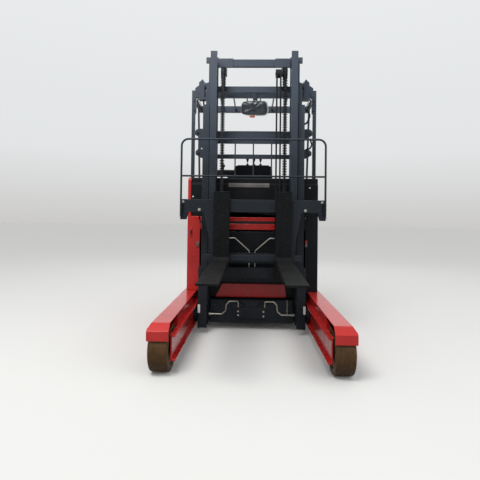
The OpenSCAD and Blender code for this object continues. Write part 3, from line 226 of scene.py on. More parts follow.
# paint over steel: cloudy tone, painted light that makes it paler high up, orange peel, dust where it
# lies flat, edges rubbed bare in places
def paintedSteel(name, s):
    material, tree, place = startMaterial(name)
    cloud, colour = cloudyColour(tree, place, s, grain["paintCloud"], 4.0)
    # painted light: the colour pales with height, standing in for brighter sky light towards the top
    if "paintedTopLight" in s:
        height = addNode(tree, "ShaderNodeSeparateXYZ", {0: place}).outputs["Z"]
        litHigher = addNode(tree, "ShaderNodeMapRange", {0: height, 1: s["paintedLightFrom"], 2: s["paintedLightTo"]})
        colour = addNode(tree, "ShaderNodeMix", {
            0: litHigher, 6: colour, 7: linear(s["paintedTopLight"])}, data_type="RGBA")
    dust = settledDust(tree, place, grain["paintDust"], 6.0, 0.42, 0.66, s["dust"])
    colour = addNode(tree, "ShaderNodeMix", {
        0: dust, 6: colour, 7: linear(dustColour["paint"])}, data_type="RGBA")
    rub = addNode(tree, "ShaderNodeTexNoise", {
        "Vector": place, "Scale": 1 / grain["rubbedEdge"], "Detail": 5.0, "Roughness": 0.7})
    patch = addNode(tree, "ShaderNodeMapRange", {0: rub, 1: 0.55, 2: 0.68, 4: s["rubbed"]})
    edge = addNode(tree, "ShaderNodeAttribute", attribute_name="edge").outputs["Fac"]
    bare = addNode(tree, "ShaderNodeMath", {0: edge, 1: patch}, operation="MULTIPLY")
    colour = addNode(tree, "ShaderNodeMix", {0: bare, 6: colour, 7: linear(s["under"])}, data_type="RGBA")
    sprayed = addNode(tree, "ShaderNodeMapRange", {
        0: cloud, 1: 0.25, 2: 0.75, 3: s["rough"] - 0.05, 4: s["rough"] + 0.07})
    rough = addNode(tree, "ShaderNodeMath", {0: dust, 1: 0.35, 2: sprayed}, operation="MULTIPLY_ADD")
    peel = addNode(tree, "ShaderNodeTexNoise", {    # drawn coarser than real so that it shows
        "Vector": place, "Scale": 1 / s["peel"], "Detail": 2.0, "Roughness": 0.5})
    bump = addNode(tree, "ShaderNodeBump", {"Strength": s["peelDepth"], "Distance": 0.0006, "Height": peel})
    shader = addNode(tree, "ShaderNodeBsdfPrincipled", {
        "Base Color": colour, "Roughness": rough, "Coat Weight": s["coat"], "Coat Roughness": 0.12,
        "IOR": 1.5, "Specular IOR Level": s["sheen"], "Normal": bump})
    return endMaterial(material, tree, shader)


# bare or plated steel: cloudy, with fine unevenness in its shine
def bareSteel(name, s):
    material, tree, place = startMaterial(name)
    _, colour = cloudyColour(tree, place, s, grain["steelCloud"])
    lines = addNode(tree, "ShaderNodeTexNoise", {
        "Vector": place, "Scale": 1 / s["line"], "Detail": 3.0, "Roughness": 0.6})
    rough = addNode(tree, "ShaderNodeMapRange", {
        0: lines, 1: 0.3, 2: 0.7, 3: s["rough"] - 0.06, 4: s["rough"] + 0.1})
    bump = addNode(tree, "ShaderNodeBump", {"Strength": 0.12, "Distance": 0.0003, "Height": lines})
    shader = addNode(tree, "ShaderNodeBsdfPrincipled", {
        "Base Color": colour, "Metallic": s["metal"], "Roughness": rough, "Normal": bump})
    return endMaterial(material, tree, shader)


# moulded plastic or rubber: fine spark-eroded or matt grain, a little dust on top
def mouldedPlastic(name, s):
    material, tree, place = startMaterial(name)
    cloud, colour = cloudyColour(tree, place, s, grain["plasticCloud"])
    dust = settledDust(tree, place, grain["plasticDust"], 5.0, 0.4, 0.7, 0.25)
    colour = addNode(tree, "ShaderNodeMix", {
        0: dust, 6: colour, 7: linear(dustColour["plastic"])}, data_type="RGBA")
    fine = addNode(tree, "ShaderNodeTexNoise", {
        "Vector": place, "Scale": 1 / s["grain"], "Detail": 2.0, "Roughness": 0.6})
    rough = addNode(tree, "ShaderNodeMapRange", {
        0: cloud, 1: 0.3, 2: 0.7, 3: s["rough"] - 0.06, 4: s["rough"] + 0.06})
    bump = addNode(tree, "ShaderNodeBump", {"Strength": s["depth"], "Distance": 0.0005, "Height": fine})
    shader = addNode(tree, "ShaderNodeBsdfPrincipled", {
        "Base Color": colour, "Roughness": rough, "IOR": s["ior"],
        "Specular IOR Level": s.get("sheen", 0.25), "Normal": bump})
    return endMaterial(material, tree, shader)


# cast polyurethane tread: honey amber that browns, with floor dirt rolled into its middle
def castPolyurethane(name, s):
    material, tree, place = startMaterial(name)
    _, colour = cloudyColour(tree, place, s, grain["treadCloud"], 5.0, 0.65)
    drawn = addNode(tree, "ShaderNodeMapping", {0: place, 3: (3.2, 0.7, 0.7)})
    streak = addNode(tree, "ShaderNodeTexNoise", {
        "Vector": drawn, "Scale": 1 / grain["treadStreak"], "Detail": 5.0, "Roughness": 0.7})
    dirt = addNode(tree, "ShaderNodeMapRange", {0: streak, 1: 0.45, 2: 0.7, 4: 0.65})
    colour = addNode(tree, "ShaderNodeMix", {0: dirt, 6: colour, 7: linear(s["dirt"])}, data_type="RGBA")
    rough = addNode(tree, "ShaderNodeMapRange", {0: streak, 1: 0.35, 2: 0.75, 3: 0.40, 4: 0.66})
    nick = addNode(tree, "ShaderNodeTexVoronoi", {"Vector": place, "Scale": 1 / grain["treadNick"]})
    dent = addNode(tree, "ShaderNodeMapRange", {0: nick, 1: 0.0, 2: 0.12, 4: 0.25})
    height = addNode(tree, "ShaderNodeMath", {0: streak, 1: 0.6, 2: dent}, operation="MULTIPLY_ADD")
    bump = addNode(tree, "ShaderNodeBump", {"Strength": 0.3, "Distance": 0.0012, "Height": height})
    shader = addNode(tree, "ShaderNodeBsdfPrincipled", {
        "Base Color": colour, "Roughness": rough, "IOR": 1.5, "Specular IOR Level": 0.2,
        "Subsurface Weight": 0.08, "Subsurface Scale": 0.004, "Normal": bump})
    return endMaterial(material, tree, shader)


# coated vinyl: pebbled leather grain in a voronoi net, with painted shade in the valleys
def grainedVinyl(name, s):
    material, tree, place = startMaterial(name)
    cloud = addNode(tree, "ShaderNodeTexNoise", {
        "Vector": place, "Scale": 1 / grain["vinylCloud"], "Detail": 3.0, "Roughness": 0.6})
    warp = addNode(tree, "ShaderNodeTexNoise", {
        "Vector": place, "Scale": 1 / grain["vinylWarp"], "Detail": 2.0, "Roughness": 0.5})
    bent = addNode(tree, "ShaderNodeVectorMath", {
        0: warp, 1: (0.004, 0.004, 0.004), 2: place}, operation="MULTIPLY_ADD")
    pebble = addNode(tree, "ShaderNodeTexVoronoi", {
        "Vector": bent, "Scale": 1 / s["grain"]}, feature="DISTANCE_TO_EDGE")
    valleyShade = addNode(tree, "ShaderNodeMapRange", {0: pebble, 1: 0.0, 2: 0.12})
    # painted shade: the valleys of the grain are coloured darker
    colour = addNode(tree, "ShaderNodeMix", {
        0: valleyShade, 6: linear(s["deep"]), 7: linear(s["colour"])}, data_type="RGBA")
    rough = addNode(tree, "ShaderNodeMapRange", {
        0: cloud, 1: 0.3, 2: 0.7, 3: s["rough"] - 0.07, 4: s["rough"] + 0.08})
    height = addNode(tree, "ShaderNodeMapRange", {0: pebble, 1: 0.0, 2: 0.2})
    bump = addNode(tree, "ShaderNodeBump", {"Strength": 0.45, "Distance": 0.0006, "Height": height})
    shader = addNode(tree, "ShaderNodeBsdfPrincipled", {
        "Base Color": colour, "Roughness": rough, "IOR": 1.46, "Specular IOR Level": 0.3, "Normal": bump})
    return endMaterial(material, tree, shader)


# thin polythene film: clear, glossy where it folds
def clearFilm(name, s):
    material, tree, place = startMaterial(name)
    fold = addNode(tree, "ShaderNodeTexNoise", {
        "Vector": place, "Scale": 1 / s["fold"], "Detail": 4.0, "Roughness": 0.65})
    bump = addNode(tree, "ShaderNodeBump", {"Strength": 0.6, "Distance": 0.002, "Height": fold})
    shader = addNode(tree, "ShaderNodeBsdfPrincipled", {
        "Base Color": linear(s["colour"]), "Roughness": s["rough"], "IOR": 1.5, "Normal": bump})
    cover = addNode(tree, "ShaderNodeMapRange", {0: fold, 1: 0.35, 2: 0.7, 3: s["thin"], 4: s["thick"]})
    clear = addNode(tree, "ShaderNodeBsdfTransparent")
    mix = addNode(tree, "ShaderNodeMixShader", {0: cover, 1: clear, 2: shader})
    return endMaterial(material, tree, mix)


# pale to the eye and in metal, darker for the light that it sends up under the object
def plainFloor(name, s):
    material, tree, _ = startMaterial(name)
    path = addNode(tree, "ShaderNodeLightPath").outputs
    mirrored = addNode(tree, "ShaderNodeMath", {
        0: path["Is Glossy Ray"], 1: path["Is Transmission Ray"]}, operation="MAXIMUM")
    seen = addNode(tree, "ShaderNodeMath", {0: path["Is Camera Ray"], 1: mirrored}, operation="MAXIMUM")
    colour = addNode(tree, "ShaderNodeMix", {
        0: seen, 6: linear(s["floorLit"]), 7: linear(s["floorSeen"])}, data_type="RGBA")
    shader = addNode(tree, "ShaderNodeBsdfDiffuse", {"Color": colour, "Roughness": 0.5})
    return endMaterial(material, tree, shader)


finishes = {
    # two-coat machine enamel, sprayed: wet gloss with faint orange peel
    "red_enamel": paintedSteel("redMachineEnamel", {
        "colour": "C42A27", "deep": "B2211F", "under": "6E5A55", "dust": 0.06, "rubbed": 0.2,
        "rough": 0.24, "peel": 0.006, "peelDepth": 0.05, "coat": 0.3, "sheen": 0.2}),
    # semi-gloss chassis paint on rolled sections: grey-blue, dull sheen
    "charcoal_paint": paintedSteel("charcoalChassisPaint", {
        "colour": "20262D", "deep": "1B2026", "under": "5C5E60", "dust": 0.12, "rubbed": 0.3,
        # painted light: paler from 1.2 m up to 2.3 m
        "paintedTopLight": "454E5A", "paintedLightFrom": 1.2, "paintedLightTo": 2.3,
        "rough": 0.42, "peel": 0.005, "peelDepth": 0.12, "coat": 0.04, "sheen": 0.16}),
    # thin black over forging scale: almost matt, pitted
    "fork_black": paintedSteel("blackForgedSteel", {
        "colour": "101214", "deep": "0B0C0E", "under": "45433F", "dust": 0.05, "rubbed": 0.35,
        "rough": 0.55, "peel": 0.009, "peelDepth": 0.25, "coat": 0.0, "sheen": 0.1}),
    # powder-coated covers: leatherette fine texture, low sheen
    "black_cover": paintedSteel("blackPowderCoat", {
        "colour": "15181B", "deep": "101215", "under": "3A3A3A", "dust": 0.16, "rubbed": 0.2,
        "rough": 0.46, "peel": 0.0035, "peelDepth": 0.25, "coat": 0.0, "sheen": 0.12}),
    # dipped and baked case: a slow ripple, dust on its lid
    "battery_steel": paintedSteel("dippedBatteryCase", {
        "colour": "171C21", "deep": "101418", "under": "4B4B4B", "dust": 0.2, "rubbed": 0.3,
        "rough": 0.40, "peel": 0.02, "peelDepth": 0.2, "coat": 0.0, "sheen": 0.15}),
    # sand-cast iron under one coat: coarse skin, dull
    "cast_housing": paintedSteel("paintedCastIron", {
        "colour": "26292D", "deep": "1C1F22", "under": "5E5B57", "dust": 0.4, "rubbed": 0.5,
        "rough": 0.6, "peel": 0.006, "peelDepth": 0.6, "coat": 0.0, "sheen": 0.25}),
    # ground and hard-chromed bar: near mirror
    "bright_steel": bareSteel("hardChromedBar", {
        "colour": "C9CCCE", "deep": "B4B7BA", "rough": 0.17, "metal": 1.0, "line": 0.004}),
    # zinc plate with a yellow-blue passivate
    "zinc_pipe": bareSteel("zincPlatedTube", {
        "colour": "CFCBBE", "deep": "A9A99F", "rough": 0.34, "metal": 1.0, "line": 0.01}),
    # oiled leaf chain: dark steel with a wet film
    "chain_steel": bareSteel("oiledChainSteel", {
        "colour": "2B2E31", "deep": "1A1B1D", "rough": 0.38, "metal": 0.85, "line": 0.008}),
    # load wheels: brown amber, scuffed
    "polyurethane": castPolyurethane("castPolyurethaneTread", {
        "colour": "5F4426", "deep": "44301A", "dirt": "2C231A"}),
    # solid rubber drive tyre, scuffed matt
    "black_tyre": mouldedPlastic("solidRubberTyre", {
        "colour": "232220", "deep": "1A1918", "grain": 0.006, "depth": 0.5, "rough": 0.78, "ior": 1.5}),
    # hydraulic hose cover: matt with a wrapped-cloth print
    "hose_rubber": mouldedPlastic("wrappedHoseRubber", {
        "colour": "1B1C1D", "deep": "131314", "grain": 0.002, "depth": 0.5, "rough": 0.62, "ior": 1.5}),
    # ABS and nylon controls: spark-eroded mould grain
    "black_knob": mouldedPlastic("mouldedNylon", {
        "colour": "202123", "deep": "18191A", "grain": 0.0012, "depth": 0.25, "rough": 0.48, "ior": 1.53}),
    # grey shell seen through its wrapping: glossy, uneven
    "mirror_shell": mouldedPlastic("mouldedMirrorShell", {
        "colour": "50585F", "deep": "343A40", "grain": 0.003, "depth": 0.1, "rough": 0.24, "ior": 1.5,
        "sheen": 0.5}),
    # pressed vinyl cover: soft, pebbled
    "seat_vinyl": grainedVinyl("embossedSeatVinyl", {
        "colour": "25272A", "deep": "131415", "grain": 0.0032, "rough": 0.52}),
}
# screws and small parts: bright plate, black oxide, rubber, blank vinyl, clear plastics
zincBolt = bareSteel("zincPlatedBolt", {
    "colour": "C6C4BA", "deep": "9F9F98", "rough": 0.30, "metal": 1.0, "line": 0.003})
blackBolt = bareSteel("blackOxideBolt", {
    "colour": "3A3B3D", "deep": "27282A", "rough": 0.42, "metal": 0.9, "line": 0.003})
greyStrip = mouldedPlastic("greyRubberStrip", {
    "colour": "77716E", "deep": "65605E", "grain": 0.002, "depth": 0.2, "rough": 0.6, "ior": 1.5})
whiteLabel = mouldedPlastic("blankWhiteVinyl", {
    "colour": "E6E6E2", "deep": "DADAD6", "grain": 0.01, "depth": 0.05, "rough": 0.4, "ior": 1.5})
orangeLens = mouldedPlastic("orangePlasticTag", {
    "colour": "E0623A", "deep": "C9512C", "grain": 0.004, "depth": 0.1, "rough": 0.35, "ior": 1.49})
film = clearFilm("polytheneFilm", {
    "colour": "E4E7E8", "rough": 0.2, "fold": 0.018, "thin": 0.62, "thick": 0.95})
darkGlass = mouldedPlastic("darkDisplayGlass", {
    "colour": "0E1114", "deep": "0A0C0E", "grain": 0.05, "depth": 0.0, "rough": 0.08, "ior": 1.52})

makeCamera()
makeWorld()
makeFloor(plainFloor("paleFloor", stage))
for name, lamp in lamps.items():
    makeLamp(name, *lamp)
print("stage and materials ready")


# an object from a finished mesh, with its material, on its body, with the nodes it stands for hidden
def finishMesh(name, mesh, material, body, replaced=(), smooth=35):
    if material:
        mesh.materials.clear()
        mesh.materials.append(material)
    mesh.polygons.foreach_set("use_smooth", [True] * len(mesh.polygons))
    mesh.set_sharp_from_angle(angle=math.radians(smooth))
    piece = bpy.data.objects.new(name, mesh)
    scene.collection.objects.link(piece)
    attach(piece, body)
    if replaced:
        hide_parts(*replaced)
    return piece


# the carriage's high bar is drawn as shallow between its side plates as the real one
undersides = {"lift_carriage": ((-0.322, -0.036, 1.067), (0.322, -0.010, 1.069), 0.030)}


def raiseUnderside(bm, low, high, lift):
    for vertex in bm.verts:
        if all(a - 1e-4 < c < b + 1e-4 for a, c, b in zip(low, vertex.co, high)):
            vertex.co.z += lift


# a CAD node's own shape with its arrises eased and the eased band marked for wear
def dressNode(node, ease):
    bm = bmesh.new()
    bm.from_mesh(frame["nodes"][node].data)
    bmesh.ops.remove_doubles(bm, verts=bm.verts, dist=2e-5)
    bmesh.ops.dissolve_limit(bm, angle_limit=math.radians(0.4), verts=bm.verts, edges=bm.edges)
    if node in undersides:
        raiseUnderside(bm, *undersides[node])
    sharp = [e for e in bm.edges if len(e.link_faces) == 2 and e.calc_face_angle(0) > math.radians(30)]
    layer = bm.verts.layers.float.new("edge")
    if sharp and ease > 0:
        made = bmesh.ops.bevel(
            bm, geom=sharp, offset=ease, offset_type="OFFSET", segments=2, profile=0.5,
            affect="EDGES", clamp_overlap=True, harden_normals=False)
        for face in made["faces"]:
            for vertex in face.verts:
                vertex[layer] = 1.0
    bmesh.ops.dissolve_degenerate(bm, dist=1e-5, edges=bm.edges)
    bmesh.ops.triangulate(bm, faces=[f for f in bm.faces if len(f.verts) > 4])
    mesh = bpy.data.meshes.new(node + "Dressed")
    bm.to_mesh(mesh)
    bm.free()
    piece = finishMesh(node + "Dressed", mesh, finishes[slotOf[node]], bodyOf[node], [node])
    weigh = piece.modifiers.new("evenShading", "WEIGHTED_NORMAL")
    weigh.keep_sharp = True


easedEdges = {    # metres of rounding on the arrises of each node
    "left_leg": 0.003, "right_leg": 0.003, "load_axles": 0.0015, "chassis": 0.003, "battery_tray": 0.003,
    "battery": 0.004, "battery_hood": 0.003, "front_wall": 0.005, "left_cover": 0.006, "right_cover": 0.005,
    "rear_housing": 0.008, "rear_door": 0.003, "seat_base": 0.002, "console": 0.006, "steering_pod": 0.008,
    "overhead_guard": 0.003, "drive_motor": 0.003, "drive_unit": 0.003, "drive_wheel": 0.002,
    "reach_carriage": 0.002, "reach_barrel": 0.001, "reach_rod": 0.001, "outer_mast": 0.002,
    "lift_barrels": 0.001, "mast_pipes": 0.0, "middle_mast": 0.002, "lift_rods": 0.001, "inner_mast": 0.002,
    "lift_carriage": 0.002, "tilt_rams": 0.001, "tilt_frame": 0.002, "fork_frame": 0.003,
    "left_fork": 0.003, "right_fork": 0.003, "left_load_wheel": 0.001, "right_load_wheel": 0.001,
    "hose_guide": 0.001, "pedals": 0.002, "steering_wheel": 0.001,
}
for node, ease in easedEdges.items():
    dressNode(node, ease)
print("nodes dressed:", len(easedEdges))


# block between two corners, its edges rounded where ease is given
def addBlock(bm, low, high, ease=0.0):
    low, high = Vector(low), Vector(high)
    made = bmesh.ops.create_cube(bm, size=1)
    for vertex in made["verts"]:
        vertex.co = Vector(c * s for c, s in zip(vertex.co, high - low)) + (low + high) / 2
    if ease:
        edges = {edge for vertex in made["verts"] for edge in vertex.link_edges}
        bmesh.ops.bevel(bm, geom=list(edges), offset=ease, segments=2, profile=0.5, affect="EDGES")


def joinRings(bm, first, second):
    for k in range(len(first)):
        after = (k + 1) % len(first)
        bm.faces.new((first[k], first[after], second[after], second[k]))


def closeRings(bm, rings):
    for first, second in zip(rings, rings[1:]):
        joinRings(bm, first, second)
    bm.faces.new(rings[0])
    bm.faces.new(rings[-1])


# turned shape: profile of (distance along the axis, radius)
def addTurned(bm, profile, place, way, sides):
    turn = Vector(way).to_track_quat("Z", "Y").to_matrix()
    circle = [(math.cos(math.tau * k / sides), math.sin(math.tau * k / sides)) for k in range(sides)]
    closeRings(bm, [[
        bm.verts.new(Vector(place) + turn @ Vector((radius * c, radius * s, along))) for c, s in circle]
        for along, radius in profile])


# round cord through the points, a ring when closed
def addTube(bm, points, radius, sides, closed=False):
    points = [Vector(p) for p in points]
    count = len(points)
    rings = []
    across = None
    for i, here in enumerate(points):
        after = points[(i + 1) % count] if closed or i + 1 < count else here
        before = points[i - 1] if closed or i else here
        way = (after - before).normalized()
        across = across or way.orthogonal()
        across = (across - way * across.dot(way)).normalized()
        lift = way.cross(across)
        rings.append([bm.verts.new(here + (across * math.cos(a) + lift * math.sin(a)) * radius)
                      for a in (math.tau * k / sides for k in range(sides))])
    if closed:
        for first, second in zip(rings, rings[1:] + rings[:1]):
            joinRings(bm, first, second)
    else:
        closeRings(bm, rings)


# a piece shows its slot's finish unless it has a look of its own
def newPiece(name, fill, body, slot=None, look=None, replaced=(), smooth=35):
    bm = bmesh.new()
    fill(bm)
    bmesh.ops.recalc_face_normals(bm, faces=bm.faces)
    mesh = bpy.data.meshes.new(name)
    bm.to_mesh(mesh)
    bm.free()
    finishMesh(name, mesh, look or finishes[slot], body, replaced, smooth)


# geometry node trees for what repeats or follows a path
def startTree(name, inputs):
    tree = bpy.data.node_groups.new(name, "GeometryNodeTree")
    tree.interface.new_socket("Geometry", in_out="INPUT", socket_type="NodeSocketGeometry")
    for label, value in inputs.items():
        kind = "NodeSocketInt" if isinstance(value, int) else "NodeSocketFloat"
        tree.interface.new_socket(label, in_out="INPUT", socket_type=kind).default_value = value
    tree.interface.new_socket("Material", in_out="INPUT", socket_type="NodeSocketMaterial")
    tree.interface.new_socket("Geometry", in_out="OUTPUT", socket_type="NodeSocketGeometry")
    return tree, addNode(tree, "NodeGroupInput").outputs


def endTree(tree, geometry, material):
    real = addNode(tree, "GeometryNodeRealizeInstances", {0: geometry})
    painted = addNode(tree, "GeometryNodeSetMaterial", {0: real, 2: material})
    addNode(tree, "NodeGroupOutput", {0: painted})
    return tree


# run a tree on a seed mesh and keep the plain mesh that comes out
def growPiece(name, tree, seedMesh, values, body, slot=None, look=None, replaced=(), smooth=35):
    values = {**values, "Material": look or finishes[slot]}
    seed = bpy.data.objects.new(name + "Seed", seedMesh)
    scene.collection.objects.link(seed)
    modifier = seed.modifiers.new("build", "NODES")
    modifier.node_group = tree
    for item in tree.interface.items_tree:
        if item.item_type == "SOCKET" and item.in_out == "INPUT" and item.name in values:
            modifier[item.identifier] = values[item.name]
    seed.update_tag()
    graph = bpy.context.evaluated_depsgraph_get()
    mesh = bpy.data.meshes.new_from_object(seed.evaluated_get(graph))
    seed.modifiers.remove(modifier)
    bpy.data.objects.remove(seed)
    mesh.name = name
    finishMesh(name, mesh, None, body, replaced, smooth)


def pathMesh(name, paths):
    mesh = bpy.data.meshes.new(name)
    points, edges = [], []
    for path in paths:
        edges += [(len(points) + i, len(points) + i + 1) for i in range(len(path) - 1)]
        points += path
    mesh.from_pydata(points, edges, [])
    return mesh


def pointMesh(name, places, way):
    mesh = bpy.data.meshes.new(name)
    mesh.from_pydata(places, [], [])
    facing = mesh.attributes.new("facing", "FLOAT_VECTOR", "POINT")
    facing.data.foreach_set("vector", list(way) * len(places))
    return mesh


# hex or round heads on washers, each standing along its point's facing
def makeBoltTree():
    tree, given = startTree("boltHeads", {
        "Head radius": 0.008, "Head height": 0.006, "Washer radius": 0.01, "Washer height": 0.0016,
        "Sides": 6, "Seed": 4})
    radius, height, sides = given["Head radius"], given["Head height"], given["Sides"]
    washerTop = given["Washer height"]
    washer = addNode(tree, "GeometryNodeMeshCylinder", {
        "Vertices": 20, "Radius": given["Washer radius"], "Depth": washerTop})
    head = addNode(tree, "GeometryNodeMeshCylinder", {"Vertices": sides, "Radius": radius, "Depth": height})
    crownRadius = addNode(tree, "ShaderNodeMath", {0: radius, 1: 0.78}, operation="MULTIPLY")
    crownDepth = addNode(tree, "ShaderNodeMath", {0: height, 1: 0.22}, operation="MULTIPLY")
    crown = addNode(tree, "GeometryNodeMeshCone", {
        "Vertices": sides, "Radius Bottom": radius, "Radius Top": crownRadius, "Depth": crownDepth})
    washerMiddle = addNode(tree, "ShaderNodeMath", {0: washerTop, 1: 0.5}, operation="MULTIPLY")
    headMiddle = addNode(tree, "ShaderNodeMath", {0: height, 1: 0.5, 2: washerTop}, operation="MULTIPLY_ADD")
    headTop = addNode(tree, "ShaderNodeMath", {0: washerTop, 1: height}, operation="ADD")
    parts = []
    for part, z in ((washer, washerMiddle), (head, headMiddle), (crown, headTop)):
        lift = addNode(tree, "ShaderNodeCombineXYZ", {2: z})
        parts.append(addNode(tree, "GeometryNodeTransform", {"Geometry": part, "Translation": lift}))
    bolt = addNode(tree, "GeometryNodeJoinGeometry", {0: parts})
    facing = addNode(tree, "GeometryNodeInputNamedAttribute", {"Name": "facing"}, data_type="FLOAT_VECTOR")
    stand = addNode(tree, "FunctionNodeAlignRotationToVector", {"Vector": facing}, axis="Z")
    spin = addNode(tree, "FunctionNodeRandomValue", {
        2: 0.0, 3: math.tau, "Seed": given["Seed"]}, data_type="FLOAT")
    spun = addNode(tree, "FunctionNodeEulerToRotation", {0: addNode(tree, "ShaderNodeCombineXYZ", {2: spin})})
    turned = addNode(tree, "FunctionNodeRotateRotation", {0: stand, 1: spun}, rotation_space="LOCAL")
    placed = addNode(tree, "GeometryNodeInstanceOnPoints", {
        "Points": given["Geometry"], "Instance": bolt, "Rotation": turned})
    return endTree(tree, placed, given["Material"])


# round hose or pipe swept along a path with filleted corners
def makeHoseTree():
    tree, given = startTree("sweptHose", {"Radius": 0.006, "Bend": 0.03, "Sides": 12})
    line = addNode(tree, "GeometryNodeMeshToCurve", {0: given["Geometry"]})
    bent = addNode(tree, "GeometryNodeFilletCurve", {
        "Curve": line, "Count": 6, "Radius": given["Bend"], "Limit Radius": True}, mode="POLY")
    ring = addNode(tree, "GeometryNodeCurvePrimitiveCircle", {
        "Resolution": given["Sides"], "Radius": given["Radius"]})
    skin = addNode(tree, "GeometryNodeCurveToMesh", {"Curve": bent, "Profile Curve": ring, "Fill Caps": True})
    return endTree(tree, skin, given["Material"])


# leaf chain: packs of plates, wide and narrow in turn, with a pin at every joint
def makeLeafChainTree():
    tree, given = startTree("leafChain", {
        "Pitch": 0.0121, "Width": 0.040, "Narrow": 0.019, "Depth": 0.012, "Pin radius": 0.0034})
    pitch, width, depth = given["Pitch"], given["Width"], given["Depth"]
    line = addNode(tree, "GeometryNodeMeshToCurve", {0: given["Geometry"]})
    steps = addNode(tree, "GeometryNodeResampleCurve", {"Curve": line, "Length": pitch}, mode="LENGTH")
    tangent = addNode(tree, "GeometryNodeInputTangent")
    along = addNode(tree, "FunctionNodeAlignRotationToVector", {
        "Vector": tangent}, axis="Z", pivot_axis="X")
    eyeRadius = addNode(tree, "ShaderNodeMath", {0: depth, 1: 0.5}, operation="MULTIPLY")
    eye = addNode(tree, "GeometryNodeMeshCylinder", {"Vertices": 14, "Radius": eyeRadius, "Depth": width})
    barDepth = addNode(tree, "ShaderNodeMath", {0: depth, 1: 0.72}, operation="MULTIPLY")
    barLength = addNode(tree, "ShaderNodeMath", {0: pitch, 1: 0.9}, operation="MULTIPLY")
    bar = addNode(tree, "GeometryNodeMeshCube", {
        "Size": addNode(tree, "ShaderNodeCombineXYZ", {0: width, 1: barDepth, 2: barLength})})
    pinLength = addNode(tree, "ShaderNodeMath", {0: given["Narrow"], 1: 0.002}, operation="ADD")
    pin = addNode(tree, "GeometryNodeMeshCylinder", {
        "Vertices": 10, "Radius": given["Pin radius"], "Depth": pinLength})
    half = addNode(tree, "ShaderNodeMath", {0: pitch, 1: 0.5}, operation="MULTIPLY")
    back = addNode(tree, "ShaderNodeMath", {0: half, 1: -1.0}, operation="MULTIPLY")
    laid = []
    for part, z in ((eye, half), (eye, back), (pin, half)):
        lift = addNode(tree, "ShaderNodeCombineXYZ", {2: z})
        laid.append(addNode(tree, "GeometryNodeTransform", {
            "Geometry": part, "Translation": lift, "Rotation": (0, math.pi / 2, 0)}))
    pack = addNode(tree, "GeometryNodeJoinGeometry", {0: [bar] + laid[:2]})
    order = addNode(tree, "GeometryNodeInputIndex")
    odd = addNode(tree, "ShaderNodeMath", {0: order, 1: 2.0}, operation="MODULO")
    slim = addNode(tree, "ShaderNodeMath", {0: given["Narrow"], 1: width}, operation="DIVIDE")
    wide = addNode(tree, "ShaderNodeMapRange", {0: odd, 3: 1.0, 4: slim})
    reach = addNode(tree, "ShaderNodeMapRange", {0: odd, 3: 0.6, 4: 1.0})    # wide packs are short teeth
    size = addNode(tree, "ShaderNodeCombineXYZ", {0: wide, 1: 1.0, 2: reach})
    packs = addNode(tree, "GeometryNodeInstanceOnPoints", {
        "Points": steps, "Instance": pack, "Rotation": along, "Scale": size})
    pins = addNode(tree, "GeometryNodeInstanceOnPoints", {
        "Points": steps, "Instance": laid[2], "Rotation": along})
    both = addNode(tree, "GeometryNodeJoinGeometry", {0: [packs, pins]})
    return endTree(tree, both, given["Material"])


# hanging chain of oval wire links, each a quarter turn from the last
def makeRingChainTree():
    tree, given = startTree("wireChain", {"Pitch": 0.015, "Wire": 0.0017})
    line = addNode(tree, "GeometryNodeMeshToCurve", {0: given["Geometry"]})
    steps = addNode(tree, "GeometryNodeResampleCurve", {
        "Curve": line, "Length": given["Pitch"]}, mode="LENGTH")
    hoopRadius = addNode(tree, "ShaderNodeMath", {0: given["Pitch"], 1: 0.62}, operation="MULTIPLY")
    hoop = addNode(tree, "GeometryNodeCurvePrimitiveCircle", {"Resolution": 14, "Radius": hoopRadius})
    oval = addNode(tree, "GeometryNodeTransform", {
        "Geometry": hoop, "Rotation": (math.pi / 2, 0, 0), "Scale": (0.62, 1, 1)})
    wire = addNode(tree, "GeometryNodeCurvePrimitiveCircle", {"Resolution": 6, "Radius": given["Wire"]})
    link = addNode(tree, "GeometryNodeCurveToMesh", {"Curve": oval, "Profile Curve": wire})
    order = addNode(tree, "GeometryNodeInputIndex")
    odd = addNode(tree, "ShaderNodeMath", {0: order, 1: 2.0}, operation="MODULO")
    quarter = addNode(tree, "ShaderNodeMath", {0: odd, 1: math.pi / 2}, operation="MULTIPLY")
    twist = addNode(tree, "ShaderNodeCombineXYZ", {2: quarter})
    turn = addNode(tree, "FunctionNodeEulerToRotation", {0: twist})
    placed = addNode(tree, "GeometryNodeInstanceOnPoints", {
        "Points": steps, "Instance": link, "Rotation": turn})
    return endTree(tree, placed, given["Material"])


# weld bead: overlapping flat ripples along a seam
def makeWeldTree():
    tree, given = startTree("weldBead", {"Step": 0.005, "Radius": 0.0045, "Seed": 7})
    line = addNode(tree, "GeometryNodeMeshToCurve", {0: given["Geometry"]})
    steps = addNode(tree, "GeometryNodeResampleCurve", {
        "Curve": line, "Length": given["Step"]}, mode="LENGTH")
    tangent = addNode(tree, "GeometryNodeInputTangent")
    along = addNode(tree, "FunctionNodeAlignRotationToVector", {"Vector": tangent}, axis="Z")
    ripple = addNode(tree, "GeometryNodeMeshIcoSphere", {"Radius": given["Radius"], "Subdivisions": 1})
    size = addNode(tree, "FunctionNodeRandomValue", {
        2: 0.85, 3: 1.12, "Seed": given["Seed"]}, data_type="FLOAT")
    flat = addNode(tree, "ShaderNodeCombineXYZ", {0: size, 1: size, 2: 0.75})
    placed = addNode(tree, "GeometryNodeInstanceOnPoints", {
        "Points": steps, "Instance": ripple, "Rotation": along, "Scale": flat})
    return endTree(tree, placed, given["Material"])


boltTree, hoseTree, leafChainTree = makeBoltTree(), makeHoseTree(), makeLeafChainTree()
ringChainTree, weldTree = makeRingChainTree(), makeWeldTree()
print("node trees built")


